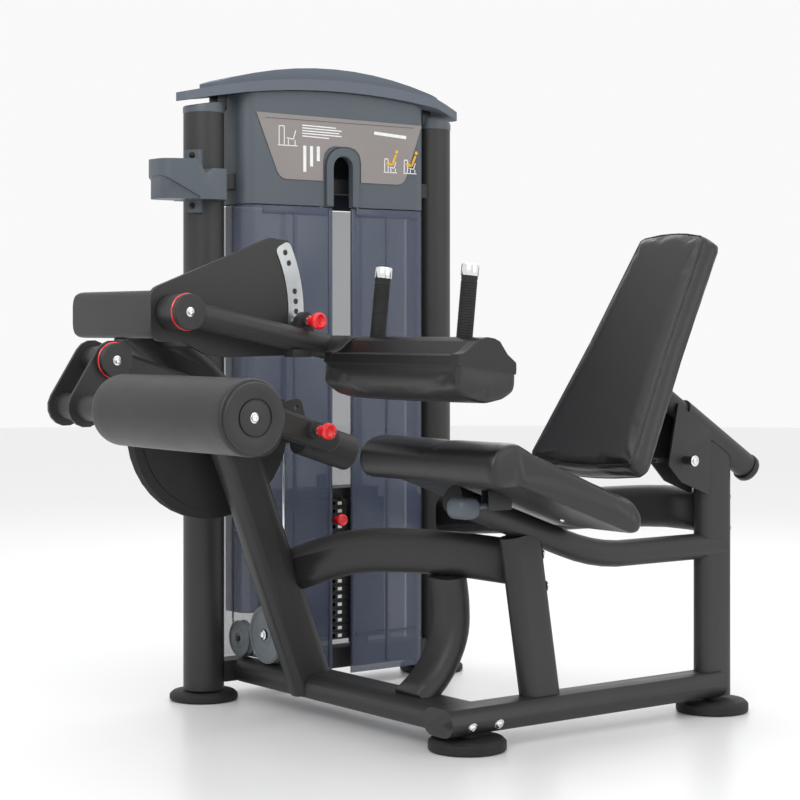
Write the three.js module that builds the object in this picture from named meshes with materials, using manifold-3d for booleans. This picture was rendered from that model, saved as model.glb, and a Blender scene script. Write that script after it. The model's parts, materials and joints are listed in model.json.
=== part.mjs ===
// A seated leg machine: a weight-stack tower beside a tube frame that carries a padded seat,
// a swinging exercise lever with a roller, and a thigh hold-down arm.
// Millimetres, +Z up. The user sits facing -Y, with the tower on the -X side.
import * as THREE from "three";
import { mergeVertices } from "three/addons/utils/BufferGeometryUtils.js";
import Module from "manifold-3d";

const wasm = await Module();
wasm.setup();

// ---------------------------------------------------------------- driving dimensions

const GAP = 0.3; // between pieces that touch on the real machine

const middle = { x: 34, y: -18.95 }; // of the whole machine in plan, which becomes the origin

const foot = { radius: 84, height: 27, stemRadius: 20 };

const tower = {
  x: -470,
  columnRadius: 49,
  frontY: -200,
  rearY: 496,
  footHeight: 25,
  columnTop: 1412,
  beamLow: 40,
  beamHigh: 90,
  topBeamLow: 1228,
  topBeamHigh: 1264,
  beamHalfWidth: 30,
};
tower.centreY = (tower.frontY + tower.rearY) / 2 + 2;

const shroud = {
  frontX: -400,
  backX: -540,
  frontY: -129,
  rearY: 429,
  corner: 38,
  wall: 4,
  bottom: 32,
  top: 1190,
  slotFrontY: 129,
  slotRearY: 187,
  wrapX: -485,
};

const housing = { bottom: 1192, crown: 1471, drop: 42, wall: 5 };
const slot = { y: 158, innerHalf: 29, rimHalf: 50, innerTop: 1317, rimTop: 1339, rimProud: 9 };
const cup = { bottom: 1197, top: 1292, tabLow: 1167, tabHigh: 1317, tabTurn: THREE.MathUtils.degToRad(30) };
const cover = { frontY: -268, rearY: 568, thickness: 27, crownLow: 1477, rise: 32, endDrop: 42 };

const stack = {
  y: 145,
  halfLength: 155,
  halfDepth: 55,
  base: 117,
  pitch: 19.4,
  groove: 1.6,
  resting: 15,
  selected: 3,
  rodOffset: 115,
  rodRadius: 10,
  holeRadius: 5.5,
};
stack.split = stack.base + stack.resting * stack.pitch;
stack.top = stack.split + stack.selected * stack.pitch;

const oval = { wide: 60, tall: 100 }; // the frame's flat-sided oval tube
const base = { centreZ: 66, sideX: 377, sideFrontY: -150, crossY: -77, crossWide: 120, footY: -71 };
const post = { thick: 50, frontBaseY: 136, frontTopY: 74, frontTopZ: 447, rearY: 664, rearTopZ: 628 };
const rail = { radius: 30, flatZ: 386, bendY: 294, frontY: -112, slope: THREE.MathUtils.degToRad(20) };

const pivot = { y: -322, z: 666 }; // the exercise lever's axis, along X
const cam = { x: -250, crown: 60, radius: 209, width: 26, grooveRadius: 201.5, cableRadius: 205 };
const lever = {
  x: -60,
  thick: 48,
  width: 60,
  hubY: -704,
  hubZ: 825,
  rearY: -132,
  rearZ: 642,
  bossRadius: 58,
  shaftRadius: 20,
};
const link = { nearX: -21, farX: -108, plate: 8, radius: 42, rollerY: -765, rollerZ: 729 };
const roller = { radius: 72.5, near: 622, far: 132, boreRadius: 21, shaftRadius: 20 };

const hub = { y: -578, z: 926, radius: 38 }; // the thigh arm's axis, along X
const sector = { nearX: 10, farX: -2, stripRadius: 318 };
const thigh = { capX: 90, armX: 60, armRadius: 27.5, padNear: 606, padFar: 148 };

const upright = { x: -165, wide: 60, tall: 104, corner: 24 };
const head = { farX: -360, frontY: -612, rearY: -552, low: 870, high: 972, corner: 12, endCorner: 32 };

const cable = { radius: 2.8, runY: -117, stackY: 145 };
const pulley = { baseX: -313, baseZ: 166, baseRadius: 63, towerRadius: 40, topRadius: 48, topZ: 1330 };

const guide = {
  radius: 30,
  bore: 25,
  angle: THREE.MathUtils.degToRad(32.1),
  topY: 560,
  topZ: 701,
  length: 264,
};

// ---------------------------------------------------------------- solids and booleans

function toSolid(geometry) {
  const bare = geometry.index ? geometry.toNonIndexed() : geometry.clone();
  bare.deleteAttribute("normal");
  bare.deleteAttribute("uv");
  const merged = mergeVertices(bare, 1e-3);
  const vertProperties = merged.attributes.position.array;
  const triVerts = new Uint32Array(merged.index.array);
  return new wasm.Manifold(new wasm.Mesh({ numProp: 3, vertProperties, triVerts }));
}

function toGeometry(solid) {
  const mesh = solid.getMesh();
  const geometry = new THREE.BufferGeometry();
  const positions = new Float32Array(mesh.vertProperties);
  geometry.setAttribute("position", new THREE.BufferAttribute(positions, 3));
  geometry.setIndex(new THREE.BufferAttribute(new Uint32Array(mesh.triVerts), 1));
  return geometry;
}

function join(...pieces) {
  return toGeometry(pieces.map(toSolid).reduce((whole, piece) => whole.add(piece)));
}

function cut(piece, ...tools) {
  return toGeometry(tools.map(toSolid).reduce((rest, tool) => rest.subtract(tool), toSolid(piece)));
}

function common(first, second) {
  return toGeometry(toSolid(first).intersect(toSolid(second)));
}

// ---------------------------------------------------------------- shapes

// A closed outline whose corners are [u, v, radius].
function outline(corners, steps = 4) {
  const points = [];
  corners.forEach(([u, v, radius = 0], index) => {
    const corner = new THREE.Vector2(u, v);
    if (radius === 0) {
      points.push(corner);
      return;
    }
    const before = corners.at(index - 1);
    const after = corners[(index + 1) % corners.length];
    const back = new THREE.Vector2(before[0], before[1]).sub(corner).normalize();
    const ahead = new THREE.Vector2(after[0], after[1]).sub(corner).normalize();
    const half = Math.acos(THREE.MathUtils.clamp(back.dot(ahead), -1, 1)) / 2;
    const inward = back.clone().add(ahead).normalize();
    const centre = corner.clone().addScaledVector(inward, radius / Math.sin(half));
    const start = corner.clone().addScaledVector(back, radius / Math.tan(half)).sub(centre);
    const end = corner.clone().addScaledVector(ahead, radius / Math.tan(half)).sub(centre);
    const turn = Math.atan2(start.cross(end), start.dot(end));
    for (let step = 0; step <= steps; step += 1) {
      const angle = start.angle() + (turn * step) / steps;
      points.push(new THREE.Vector2(Math.cos(angle), Math.sin(angle)).multiplyScalar(radius).add(centre));
    }
  });
  return new THREE.Shape(points);
}

function rectangle(u0, u1, v0, v1, radius = 0) {
  return outline([
    [u0, v0, radius],
    [u1, v0, radius],
    [u1, v1, radius],
    [u0, v1, radius],
  ]);
}

// A flat-sided oval, centred, with half-round ends on its longer axis.
function stadium(width, height, steps = 4) {
  const radius = Math.min(width, height) / 2 - 0.01;
  return outline(
    [
      [-width / 2, -height / 2, radius],
      [width / 2, -height / 2, radius],
      [width / 2, height / 2, radius],
      [-width / 2, height / 2, radius],
    ],
    steps,
  );
}

const AXES = {
  x: [new THREE.Vector3(0, 1, 0), new THREE.Vector3(0, 0, 1), new THREE.Vector3(1, 0, 0)],
  y: [new THREE.Vector3(0, 0, 1), new THREE.Vector3(1, 0, 0), new THREE.Vector3(0, 1, 0)],
  z: [new THREE.Vector3(1, 0, 0), new THREE.Vector3(0, 1, 0), new THREE.Vector3(0, 0, 1)],
};

// A flat shape pushed along one axis from low to high.
// Its own two axes are (y, z) along x, (z, x) along y and (x, y) along z.
function slab(shape, axis, low, high) {
  const geometry = new THREE.ExtrudeGeometry(shape, { depth: high - low, bevelEnabled: false });
  geometry.translate(0, 0, low);
  return geometry.applyMatrix4(new THREE.Matrix4().makeBasis(...AXES[axis]));
}

// The same with rounded edges.
function softSlab(shape, axis, low, high, radius, segments = 2) {
  const geometry = new THREE.ExtrudeGeometry(shape, {
    depth: high - low - 2 * radius,
    bevelEnabled: true,
    bevelThickness: radius,
    bevelSize: radius,
    bevelOffset: -radius,
    bevelSegments: segments,
  });
  geometry.translate(0, 0, low + radius);
  return geometry.applyMatrix4(new THREE.Matrix4().makeBasis(...AXES[axis]));
}

function box([x0, x1], [y0, y1], [z0, z1]) {
  const geometry = new THREE.BoxGeometry(x1 - x0, y1 - y0, z1 - z0);
  return geometry.translate((x0 + x1) / 2, (y0 + y1) / 2, (z0 + z1) / 2);
}

// A round bar between two points; a second radius makes it taper.
function rod(radius, from, to, sides = 16, endRadius = radius) {
  const start = new THREE.Vector3(...from);
  const end = new THREE.Vector3(...to);
  const along = end.clone().sub(start);
  const geometry = new THREE.CylinderGeometry(endRadius, radius, along.length(), sides);
  const turn = new THREE.Quaternion().setFromUnitVectors(
    new THREE.Vector3(0, 1, 0),
    along.clone().normalize(),
  );
  geometry.applyQuaternion(turn);
  return geometry.translate(...start.add(end).multiplyScalar(0.5).toArray());
}

// A round bar along X at (y, z).
function axle(radius, x0, x1, y, z, sides = 16) {
  return rod(radius, [x0, y, z], [x1, y, z], sides);
}

// An oval bar between two points. Its width lies along the given side direction.
function ovalBar(shape, from, to, side) {
  const start = new THREE.Vector3(...from);
  const along = new THREE.Vector3(...to).sub(start);
  const length = along.length();
  along.normalize();
  const across = new THREE.Vector3(...side);
  across.addScaledVector(along, -across.dot(along)).normalize();
  const up = along.clone().cross(across);
  const geometry = new THREE.ExtrudeGeometry(shape, { depth: length, bevelEnabled: false });
  const place = new THREE.Matrix4().makeBasis(across, up, along).setPosition(start);
  return geometry.applyMatrix4(place);
}

function curveThrough(points) {
  return new THREE.CatmullRomCurve3(points.map((point) => new THREE.Vector3(...point)));
}

function sweep(shape, curve, steps) {
  return new THREE.ExtrudeGeometry(shape, { extrudePath: curve, steps });
}

function circle(radius, sides = 20) {
  const points = [];
  for (let side = 0; side < sides; side += 1) {
    const angle = (side * 2 * Math.PI) / sides;
    points.push(new THREE.Vector2(radius * Math.cos(angle), radius * Math.sin(angle)));
  }
  return new THREE.Shape(points);
}

// A turned part. The profile is [radius, height] pairs, going round anticlockwise.
function turned(profile, axis, [x, y, z], sides = 32) {
  const points = profile.map(([radius, height]) => new THREE.Vector2(radius, height));
  const geometry = new THREE.LatheGeometry(points, sides);
  if (axis === "x") geometry.rotateZ(-Math.PI / 2);
  if (axis === "z") geometry.rotateX(Math.PI / 2);
  return geometry.translate(x, y, z);
}

// ---------------------------------------------------------------- materials and the scene graph

const machine = new THREE.Group();

const FINISHES = {
  frame: [0x3b3b3a, 0.45, 0.5],
  plastic: [0x5d656d, 0.5, 0],
  panel: [0x5c6478, 0.3, 0],
  placard: [0x968f8c, 0.5, 0],
  rubber: [0x222222, 0.85, 0],
  upholstery: [0x1a1a1c, 0.5, 0],
  steel: [0xb9bdc0, 0.25, 1],
  plates: [0x2a2b2d, 0.5, 0.4],
  red: [0xf2202a, 0.35, 0],
  nylon: [0x6f767b, 0.5, 0],
};

function add(name, geometry, finish) {
  const [color, roughness, metalness] = FINISHES[finish];
  const mesh = new THREE.Mesh(
    geometry,
    new THREE.MeshStandardMaterial({ color, roughness, metalness }),
  );
  mesh.name = name;
  machine.add(mesh);
}

// ---------------------------------------------------------------- feet and tower

function footDisc(radius, height, stemTop, x, y) {
  return turned(
    [
      [0, 0],
      [radius - 3, 0],
      [radius, 4],
      [radius, height - 7],
      [radius - 8, height],
      [foot.stemRadius, height],
      [foot.stemRadius, stemTop],
      [0, stemTop],
    ],
    "z",
    [x, y, 0],
    32,
  );
}

function buildFeet() {
  const stemTop = base.centreZ - oval.wide / 2 - GAP;
  add("foot_corner", footDisc(foot.radius, foot.height, stemTop, base.sideX, base.footY), "rubber");
  add("foot_rear", footDisc(foot.radius, foot.height, stemTop, base.sideX, post.rearY), "rubber");
  const places = { foot_tower_front: tower.frontY, foot_tower_rear: tower.rearY };
  for (const [name, y] of Object.entries(places)) {
    const height = tower.footHeight - GAP;
    add(name, footDisc(foot.radius - 2, height - 4, height, tower.x, y), "rubber");
  }
}

function column(y, radius = tower.columnRadius) {
  return rod(radius, [tower.x, y, tower.footHeight], [tower.x, y, tower.columnTop], 32);
}

function buildTowerFrame() {
  add("tower_column_front", column(tower.frontY), "frame");
  add("tower_column_rear", column(tower.rearY), "frame");
  const room = [tower.frontY, tower.rearY].map((y) =>
    rod(tower.columnRadius + GAP, [tower.x, y, 0], [tower.x, y, 1500], 32),
  );
  const beamX = [tower.x - tower.beamHalfWidth, tower.x + tower.beamHalfWidth];
  const beamY = [tower.frontY, tower.rearY];
  const lower = box(beamX, beamY, [tower.beamLow, tower.beamHigh]);
  const edgeX = beamX[1] - 0.5;
  const spindleX = tower.x + pulley.towerRadius;
  const spindleZ = pulley.baseZ - pulley.baseRadius + pulley.towerRadius;
  const pulleyCheek = slab(
    outline([
      [tower.beamHigh - 10, spindleX - 22],
      [tower.beamHigh - 10, edgeX],
      [tower.beamHigh + 8, edgeX],
      [tower.beamHigh + 8, spindleX + 22],
      [spindleZ + 20, spindleX + 22, 14],
      [spindleZ + 20, spindleX - 22, 14],
    ]),
    "y",
    cable.runY + 14,
    cable.runY + 20,
  );
  const spindle = rod(
    6,
    [spindleX, cable.runY - 14, spindleZ],
    [spindleX, cable.runY + 16, spindleZ],
    12,
  );
  add("tower_base_beam", cut(join(lower, pulleyCheek, spindle), ...room), "frame");

  const upper = box(beamX, beamY, [tower.topBeamLow, tower.topBeamHigh]);
  const hangers = [];
  for (const y of [cable.runY + pulley.topRadius, cable.stackY - pulley.topRadius]) {
    const cheekHeights = [tower.topBeamHigh - 2, pulley.topZ + 16];
    const cheek = box([tower.x + 14, tower.x + 19], [y - 16, y + 16], cheekHeights);
    hangers.push(cheek, axle(6, tower.x - 14, tower.x + 16, y, pulley.topZ, 12));
  }
  const rodHoles = [-1, 1].map((side) => guideRod(side, stack.rodRadius + GAP));
  const cableHoles = [cable.runY, cable.stackY].map((y) =>
    rod(9, [tower.x, y, tower.topBeamLow - 5], [tower.x, y, tower.topBeamHigh + 5], 10),
  );
  add("tower_top_beam", cut(join(upper, ...hangers), ...room, ...rodHoles, ...cableHoles), "frame");
}

function guideRod(side, radius = stack.rodRadius) {
  const y = stack.y + side * stack.rodOffset;
  return rod(radius, [tower.x, y, tower.beamHigh + GAP], [tower.x, y, tower.topBeamHigh - 4], 12);
}

function buildGuideRods() {
  add("guide_rod_front", guideRod(-1), "steel");
  add("guide_rod_rear", guideRod(1), "steel");
}

// ---------------------------------------------------------------- weight stack

// A run of plates with a groove between each, open for the guide rods and the selector rod.
function plateRun(bottom, count) {
  const x = [tower.x - stack.halfDepth, tower.x + stack.halfDepth];
  const y = [stack.y - stack.halfLength, stack.y + stack.halfLength];
  const body = box(x, y, [bottom, bottom + count * stack.pitch - GAP]);
  const cuts = [];
  for (let plate = 1; plate < count; plate += 1) {
    const z = bottom + plate * stack.pitch - stack.groove;
    const groove = cut(
      box([x[0] - 5, x[1] + 5], [y[0] - 5, y[1] + 5], [z, z + stack.groove]),
      box([x[0] + 6, x[1] - 6], [y[0] + 6, y[1] - 6], [z - 1, z + stack.groove + 1]),
    );
    cuts.push(groove);
  }
  for (const side of [-1, 1]) {
    const rodY = stack.y + side * stack.rodOffset;
    cuts.push(rod(stack.rodRadius + 2, [tower.x, rodY, bottom - 1], [tower.x, rodY, bottom + 400], 10));
  }
  cuts.push(rod(11, [tower.x, stack.y, bottom - 1], [tower.x, stack.y, bottom + 400], 10));
  for (let plate = 0; plate < count; plate += 1) {
    const z = bottom + (plate + 0.5) * stack.pitch - stack.groove / 2;
    cuts.push(axle(stack.holeRadius, tower.x + 2, tower.x + 60, stack.y, z, 8));
  }
  return cut(body, ...cuts);
}

function buildStack() {
  add("resting_plates", plateRun(stack.base, stack.resting), "plates");
  add("selected_plates", plateRun(stack.split, stack.selected), "plates");

  const headBottom = stack.top;
  const block = box(
    [tower.x - 42, tower.x + 42],
    [stack.y - stack.halfLength + 8, stack.y + stack.halfLength - 8],
    [headBottom, headBottom + 26],
  );
  const selectorRod = rod(9.5, [tower.x, stack.y, stack.split + 2], [tower.x, stack.y, headBottom + 1], 12);
  const socket = rod(13, [tower.x, stack.y, headBottom + 25], [tower.x, stack.y, headBottom + 60], 12);
  const bores = [-1, 1].map((side) => {
    const y = stack.y + side * stack.rodOffset;
    return rod(stack.rodRadius + 1, [tower.x, y, headBottom - 5], [tower.x, y, headBottom + 40], 12);
  });
  const pinZ = stack.split + stack.pitch / 2 - stack.groove / 2;
  const pinBore = axle(5.3, tower.x - 20, tower.x + 30, stack.y, pinZ, 8);
  add("head_plate", cut(join(block, selectorRod, socket), ...bores, pinBore), "plates");

  const knob = turned(
    [
      [0, 0],
      [8, 0],
      [8, 12],
      [14, 18],
      [15, 30],
      [11, 34],
      [0, 34],
    ],
    "x",
    [tower.x + stack.halfDepth + 3, stack.y, pinZ],
    16,
  );
  const shank = axle(4.5, tower.x - 8, tower.x + stack.halfDepth + 4, stack.y, pinZ, 10);
  add("selector_pin", join(knob, shank), "red");

  const lanyard = curveThrough([
    [tower.x + 46, stack.y + 16, headBottom + 14],
    [tower.x + 62, stack.y + 20, headBottom + 4],
    [tower.x + 64, stack.y + 21, headBottom - 20],
    [tower.x + 66, stack.y + 19.5, pinZ + 8],
  ]);
  add("pin_lanyard", sweep(circle(4, 8), lanyard, 8), "rubber");
}

// ---------------------------------------------------------------- cable and pulleys

// A grooved wheel, flat on both sides, with a bore.
function sheave(grooveRadius, rimRadius, width, bore, axis, centre, sides = 32) {
  const half = width / 2;
  return turned(
    [
      [bore, -half],
      [rimRadius, -half],
      [rimRadius, -half + 1.5],
      [grooveRadius, -3.4],
      [grooveRadius, 3.4],
      [rimRadius, half - 1.5],
      [rimRadius, half],
      [bore, half],
      [bore, -half],
    ],
    axis,
    centre,
    sides,
  );
}

function buildPulleys() {
  const clear = cable.radius + 0.5;
  const lowZ = pulley.baseZ - pulley.baseRadius;
  add(
    "base_pulley",
    sheave(pulley.baseRadius - clear, 69, 18, 8.5, "y", [pulley.baseX, cable.runY, pulley.baseZ], 28),
    "nylon",
  );
  add(
    "tower_pulley",
    sheave(
      pulley.towerRadius - clear,
      44,
      18,
      6.5,
      "y",
      [tower.x + pulley.towerRadius, cable.runY, lowZ + pulley.towerRadius],
      18,
    ),
    "nylon",
  );
  const tops = {
    top_pulley_front: cable.runY + pulley.topRadius,
    top_pulley_rear: cable.stackY - pulley.topRadius,
  };
  for (const [name, y] of Object.entries(tops)) {
    const centre = [tower.x, y, pulley.topZ];
    add(name, sheave(pulley.topRadius - clear, 52.5, 18, 6.5, "x", centre, 18), "nylon");
  }

  const cheek = slab(
    outline([
      [base.centreZ + 28, pulley.baseX - 38],
      [base.centreZ + 28, pulley.baseX + 38],
      [pulley.baseZ + 18, pulley.baseX + 18, 16],
      [pulley.baseZ + 18, pulley.baseX - 18, 16],
    ]),
    "y",
    cable.runY + 13,
    cable.runY + 21,
  );
  const spindle = rod(
    8,
    [pulley.baseX, cable.runY - 10.5, pulley.baseZ],
    [pulley.baseX, cable.runY + 15, pulley.baseZ],
    14,
  );
  const head = rod(
    12,
    [pulley.baseX, cable.runY - 16, pulley.baseZ],
    [pulley.baseX, cable.runY - 10, pulley.baseZ],
    6,
  );
  const bracket = cut(join(cheek, spindle, head), crossTube(2 * GAP));
  add("base_pulley_bracket", bracket, "frame");
}

// A quarter or longer turn of cable round a pulley, in the plane of two unit directions.
function cableBend(centre, radius, first, second, from, to, steps) {
  const points = [];
  for (let step = 0; step <= steps; step += 1) {
    const angle = THREE.MathUtils.degToRad(from + ((to - from) * step) / steps);
    const point = new THREE.Vector3(...centre)
      .addScaledVector(new THREE.Vector3(...first), radius * Math.cos(angle))
      .addScaledVector(new THREE.Vector3(...second), radius * Math.sin(angle));
    points.push(point);
  }
  return sweep(circle(cable.radius, 6), new THREE.CatmullRomCurve3(points), steps);
}

function cableRun(from, to) {
  const start = new THREE.Vector3(...from);
  const end = new THREE.Vector3(...to);
  const along = end.clone().sub(start).normalize();
  start.addScaledVector(along, -1);
  end.addScaledVector(along, 1);
  return rod(cable.radius - 0.3, start.toArray(), end.toArray(), 6);
}

function buildCable() {
  const x = [1, 0, 0];
  const y = [0, 1, 0];
  const z = [0, 0, 1];
  const lowZ = pulley.baseZ - pulley.baseRadius;
  const towerX = tower.x + pulley.towerRadius;
  const towerZ = lowZ + pulley.towerRadius;
  const frontY = cable.runY + pulley.topRadius;
  const rearY = cable.stackY - pulley.topRadius;
  const topZ = pulley.topZ + pulley.topRadius;
  add(
    "drive_cable",
    join(
      cableBend([cam.x, pivot.y, pivot.z], cam.cableRadius, y, z, 0, 15, 4),
      cableRun([cam.x, cable.runY, pivot.z], [cam.x, cable.runY, pulley.baseZ]),
      cableBend([pulley.baseX, cable.runY, pulley.baseZ], pulley.baseRadius, x, z, 0, -90, 7),
      cableRun([pulley.baseX, cable.runY, lowZ], [towerX, cable.runY, lowZ]),
      cableBend([towerX, cable.runY, towerZ], pulley.towerRadius, x, z, -90, -180, 6),
      cableRun([tower.x, cable.runY, towerZ], [tower.x, cable.runY, pulley.topZ]),
      cableBend([tower.x, frontY, pulley.topZ], pulley.topRadius, y, z, 180, 90, 6),
      cableRun([tower.x, frontY, topZ], [tower.x, rearY, topZ]),
      cableBend([tower.x, rearY, pulley.topZ], pulley.topRadius, y, z, 90, 0, 6),
    ),
    "steel",
  );
  const headTop = stack.top + 60 + GAP;
  add(
    "stack_cable",
    rod(cable.radius, [tower.x, stack.y, headTop], [tower.x, stack.y, pulley.topZ - 1], 8),
    "steel",
  );
}

// ---------------------------------------------------------------- tower covers

// The tower's plan outline (x, y), inset from the shroud's outer face.
function towerPlan(inset, corner = shroud.corner) {
  const front = shroud.frontX - inset;
  const back = shroud.backX + inset;
  return rectangle(back, front, shroud.frontY + inset, shroud.rearY - inset, corner - inset);
}

// A front shroud: a flat panel beside the slot that wraps round the corner to the column.
function frontShroud(y0, y1) {
  const wallRing = cut(
    slab(towerPlan(0), "z", shroud.bottom, shroud.top),
    slab(towerPlan(shroud.wall), "z", shroud.bottom - 1, shroud.top + 1),
  );
  const panel = common(wallRing, box([shroud.wrapX, -300], [y0, y1], [0, 1400]));
  return cut(panel, ...shroudOpenings());
}

// Room for the base beam, the cross tube and the base pulley's cable.
function shroudOpenings() {
  const beam = box(
    [tower.x - tower.beamHalfWidth - 3, tower.x + tower.beamHalfWidth + 3],
    [tower.frontY, tower.rearY],
    [0, tower.beamHigh + 3],
  );
  const tube = box([-460, -300], [base.crossY - 66, base.crossY + 66], [0, base.centreZ + 34]);
  const wheel = box([-500, -300], [shroud.frontY - 5, cable.runY + 26], [0, 205]);
  return [beam, tube, wheel];
}

function buildShrouds() {
  add("shroud_front", frontShroud(-300, shroud.slotFrontY), "panel");
  add("shroud_rear", frontShroud(shroud.slotRearY, 600), "panel");
  const wallRing = cut(
    slab(towerPlan(0), "z", shroud.bottom, shroud.top),
    slab(towerPlan(shroud.wall), "z", shroud.bottom - 1, shroud.top + 1),
  );
  const back = common(wallRing, box([-700, shroud.wrapX - 12], [-300, 600], [0, 1400]));
  add("shroud_back", cut(back, ...shroudOpenings()), "panel");
}

// The height of an arch over the tower at a given y.
function archHeight(crown, drop, halfSpan, y) {
  const share = (y - tower.centreY) / halfSpan;
  return crown - drop * share * share;
}

function archShape(y0, y1, low, high, halfSpan, steps = 12) {
  const points = [];
  for (let step = 0; step <= steps; step += 1) {
    const y = y0 + ((y1 - y0) * step) / steps;
    points.push(new THREE.Vector2(y, low(y, halfSpan)));
  }
  for (let step = steps; step >= 0; step -= 1) {
    const y = y0 + ((y1 - y0) * step) / steps;
    points.push(new THREE.Vector2(y, high(y, halfSpan)));
  }
  return new THREE.Shape(points);
}

const coverHalf = (cover.rearY - cover.frontY) / 2;

function housingShell() {
  const underArch = archShape(
    shroud.frontY - 1,
    shroud.rearY + 1,
    () => housing.bottom,
    (y) => archHeight(cover.crownLow - GAP, cover.endDrop, coverHalf, y),
    coverHalf,
  );
  const prism = slab(underArch, "x", -560, -380);
  const outer = common(slab(towerPlan(0), "z", 1100, 1600), prism);
  const inner = slab(towerPlan(housing.wall), "z", 1100, 1600);
  return cut(outer, inner);
}

function slotShape(half, top) {
  const points = [[slot.y - half, housing.bottom - 30]];
  points.push([slot.y + half, housing.bottom - 30]);
  for (let step = 0; step <= 12; step += 1) {
    const angle = (Math.PI * step) / 12;
    points.push([slot.y + half * Math.cos(angle), top - half + half * Math.sin(angle)]);
  }
  return new THREE.Shape(points.map(([y, z]) => new THREE.Vector2(y, z)));
}

function topBeamRoom() {
  return box(
    [tower.x - tower.beamHalfWidth - GAP, tower.x + tower.beamHalfWidth + GAP],
    [tower.frontY, tower.rearY],
    [tower.topBeamLow - GAP, tower.topBeamHigh + GAP],
  );
}

function buildHousing() {
  const opening = slab(slotShape(slot.rimHalf + GAP, slot.rimTop + GAP), "x", -430, -300);
  add("upper_housing", cut(housingShell(), opening, topBeamRoom()), "plastic");

  const rimBox = box([-430, -300], [0, 400], [housing.bottom, 1400]);
  const rim = cut(
    slab(slotShape(slot.rimHalf, slot.rimTop), "x", shroud.frontX - 12, shroud.frontX + slot.rimProud),
    slab(slotShape(slot.innerHalf, slot.innerTop), "x", -430, -300),
  );
  add("slot_bezel", common(rim, rimBox), "plastic");

  const plan = outline([
    [tower.x - 22, cover.frontY, 20],
    [tower.x + 22, cover.frontY, 20],
    [tower.x + 84, cover.frontY + 120, 60],
    [tower.x + 84, cover.rearY - 120, 60],
    [tower.x + 22, cover.rearY, 20],
    [tower.x - 22, cover.rearY, 20],
    [tower.x - 84, cover.rearY - 120, 60],
    [tower.x - 84, cover.frontY + 120, 60],
  ]);
  const slabShape = archShape(
    cover.frontY - 1,
    cover.rearY + 1,
    (y) => archHeight(cover.crownLow, cover.endDrop, coverHalf, y),
    (y) => archHeight(cover.crownLow + cover.thickness, cover.endDrop + 6, coverHalf, y),
    coverHalf,
  );
  const crownShape = archShape(
    cover.frontY + 60,
    cover.rearY - 60,
    (y) => archHeight(cover.crownLow + 10, cover.endDrop, coverHalf, y),
    (y) => archHeight(cover.crownLow + cover.thickness + cover.rise, 80, coverHalf, y),
    coverHalf,
  );
  const lower = common(slab(slabShape, "x", -600, -300), slab(plan, "z", 1300, 1700));
  const crownPlan = rectangle(tower.x - 52, tower.x + 52, cover.frontY + 70, cover.rearY - 70, 40);
  const crown = common(slab(crownShape, "x", -600, -300), slab(crownPlan, "z", 1300, 1700));
  const columnRoom = [tower.frontY, tower.rearY].map((y) =>
    rod(tower.columnRadius + 4, [tower.x, y, 1300], [tower.x, y, tower.columnTop + 3], 20),
  );
  add("top_cover", cut(join(lower, crown), ...columnRoom), "plastic");

  const card = outline(
    [
      [slot.y - slot.rimHalf - 8, 1255],
      [slot.y - slot.rimHalf - 8, 1342, 36],
      [slot.y + slot.rimHalf + 8, 1342, 36],
      [slot.y + slot.rimHalf + 8, 1255],
      [351, 1255, 30],
      [408, 1409],
      [-96, 1414],
      [-28, 1255, 30],
    ].reverse(),
    3,
  );
  const face = shroud.frontX + GAP;
  add("placard", slab(card, "x", face, face + 2), "placard");
}

// The cup holder's plan outline (x, y), inset from its outer face.
function cupPlan(inset) {
  const y = tower.frontY;
  return outline([
    [tower.x - 40 + inset, y - 30, 8],
    [tower.x - 40 + inset, y - 142 + inset, 30 - inset],
    [tower.x + 48 - inset, y - 142 + inset, 34 - inset],
    [tower.x + 92 - inset, y - 30, 30 - inset],
    [tower.x + 92 - inset, y + 8 - inset, 12 - inset],
    [tower.x + 56, y + 30 - inset, 12],
    [tower.x + 20, y + 30 - inset, 8],
  ]);
}

function buildCupHolder() {
  const y = tower.frontY;
  const x = [tower.x - 60, tower.x + 120];
  const notch = outline([
    [y - 66, cup.top + 1],
    [y - 46, cup.top - 34],
    [y - 30, cup.top - 22],
    [y + 60, cup.top - 22],
    [y + 60, cup.top + 1],
  ]);
  const skirtCut = outline([
    [y - 170, cup.bottom - 1],
    [y - 59, cup.bottom - 1],
    [y - 59, cup.bottom + 6],
    [y - 142, cup.top - 38],
    [y - 170, cup.top - 38],
  ]);
  const skirt = cut(slab(cupPlan(0), "z", cup.bottom, cup.top), slab(skirtCut, "x", ...x));
  const well = slab(cupPlan(5), "z", cup.bottom + 1, cup.top - 5);
  const tab = slab(rectangle(-22, 22, 30, tower.columnRadius + 9, 3), "z", cup.tabLow, cup.tabHigh);
  tab.rotateZ(Math.PI + cup.tabTurn);
  tab.translate(tower.x, y, 0);
  const [pocketX, pocketY] = [tower.x + 4, y - 97];
  const pocket = rod(36, [pocketX, pocketY, cup.bottom + 6], [pocketX, pocketY, cup.top + 5], 32);
  const bore = rod(tower.columnRadius + GAP, [tower.x, y, 1100], [tower.x, y, 1400], 32);
  const notched = cut(join(skirt, well), slab(notch, "x", ...x));
  add("cup_holder", cut(join(notched, tab), pocket, bore, topBeamRoom()), "plastic");
}

// ---------------------------------------------------------------- frame tubes

function crossTube(grow = 0) {
  const shape = stadium(base.crossWide + grow, oval.wide + grow);
  const right = base.sideX;
  const from = [tower.x + 30, base.crossY, base.centreZ];
  return ovalBar(shape, from, [right, base.crossY, base.centreZ], [0, 1, 0]);
}

function sideTube(grow = 0) {
  const shape = stadium(oval.tall + grow, oval.wide + grow);
  return ovalBar(
    shape,
    [base.sideX, base.sideFrontY, base.centreZ],
    [base.sideX, post.rearY, base.centreZ],
    [1, 0, 0],
  );
}

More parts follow.
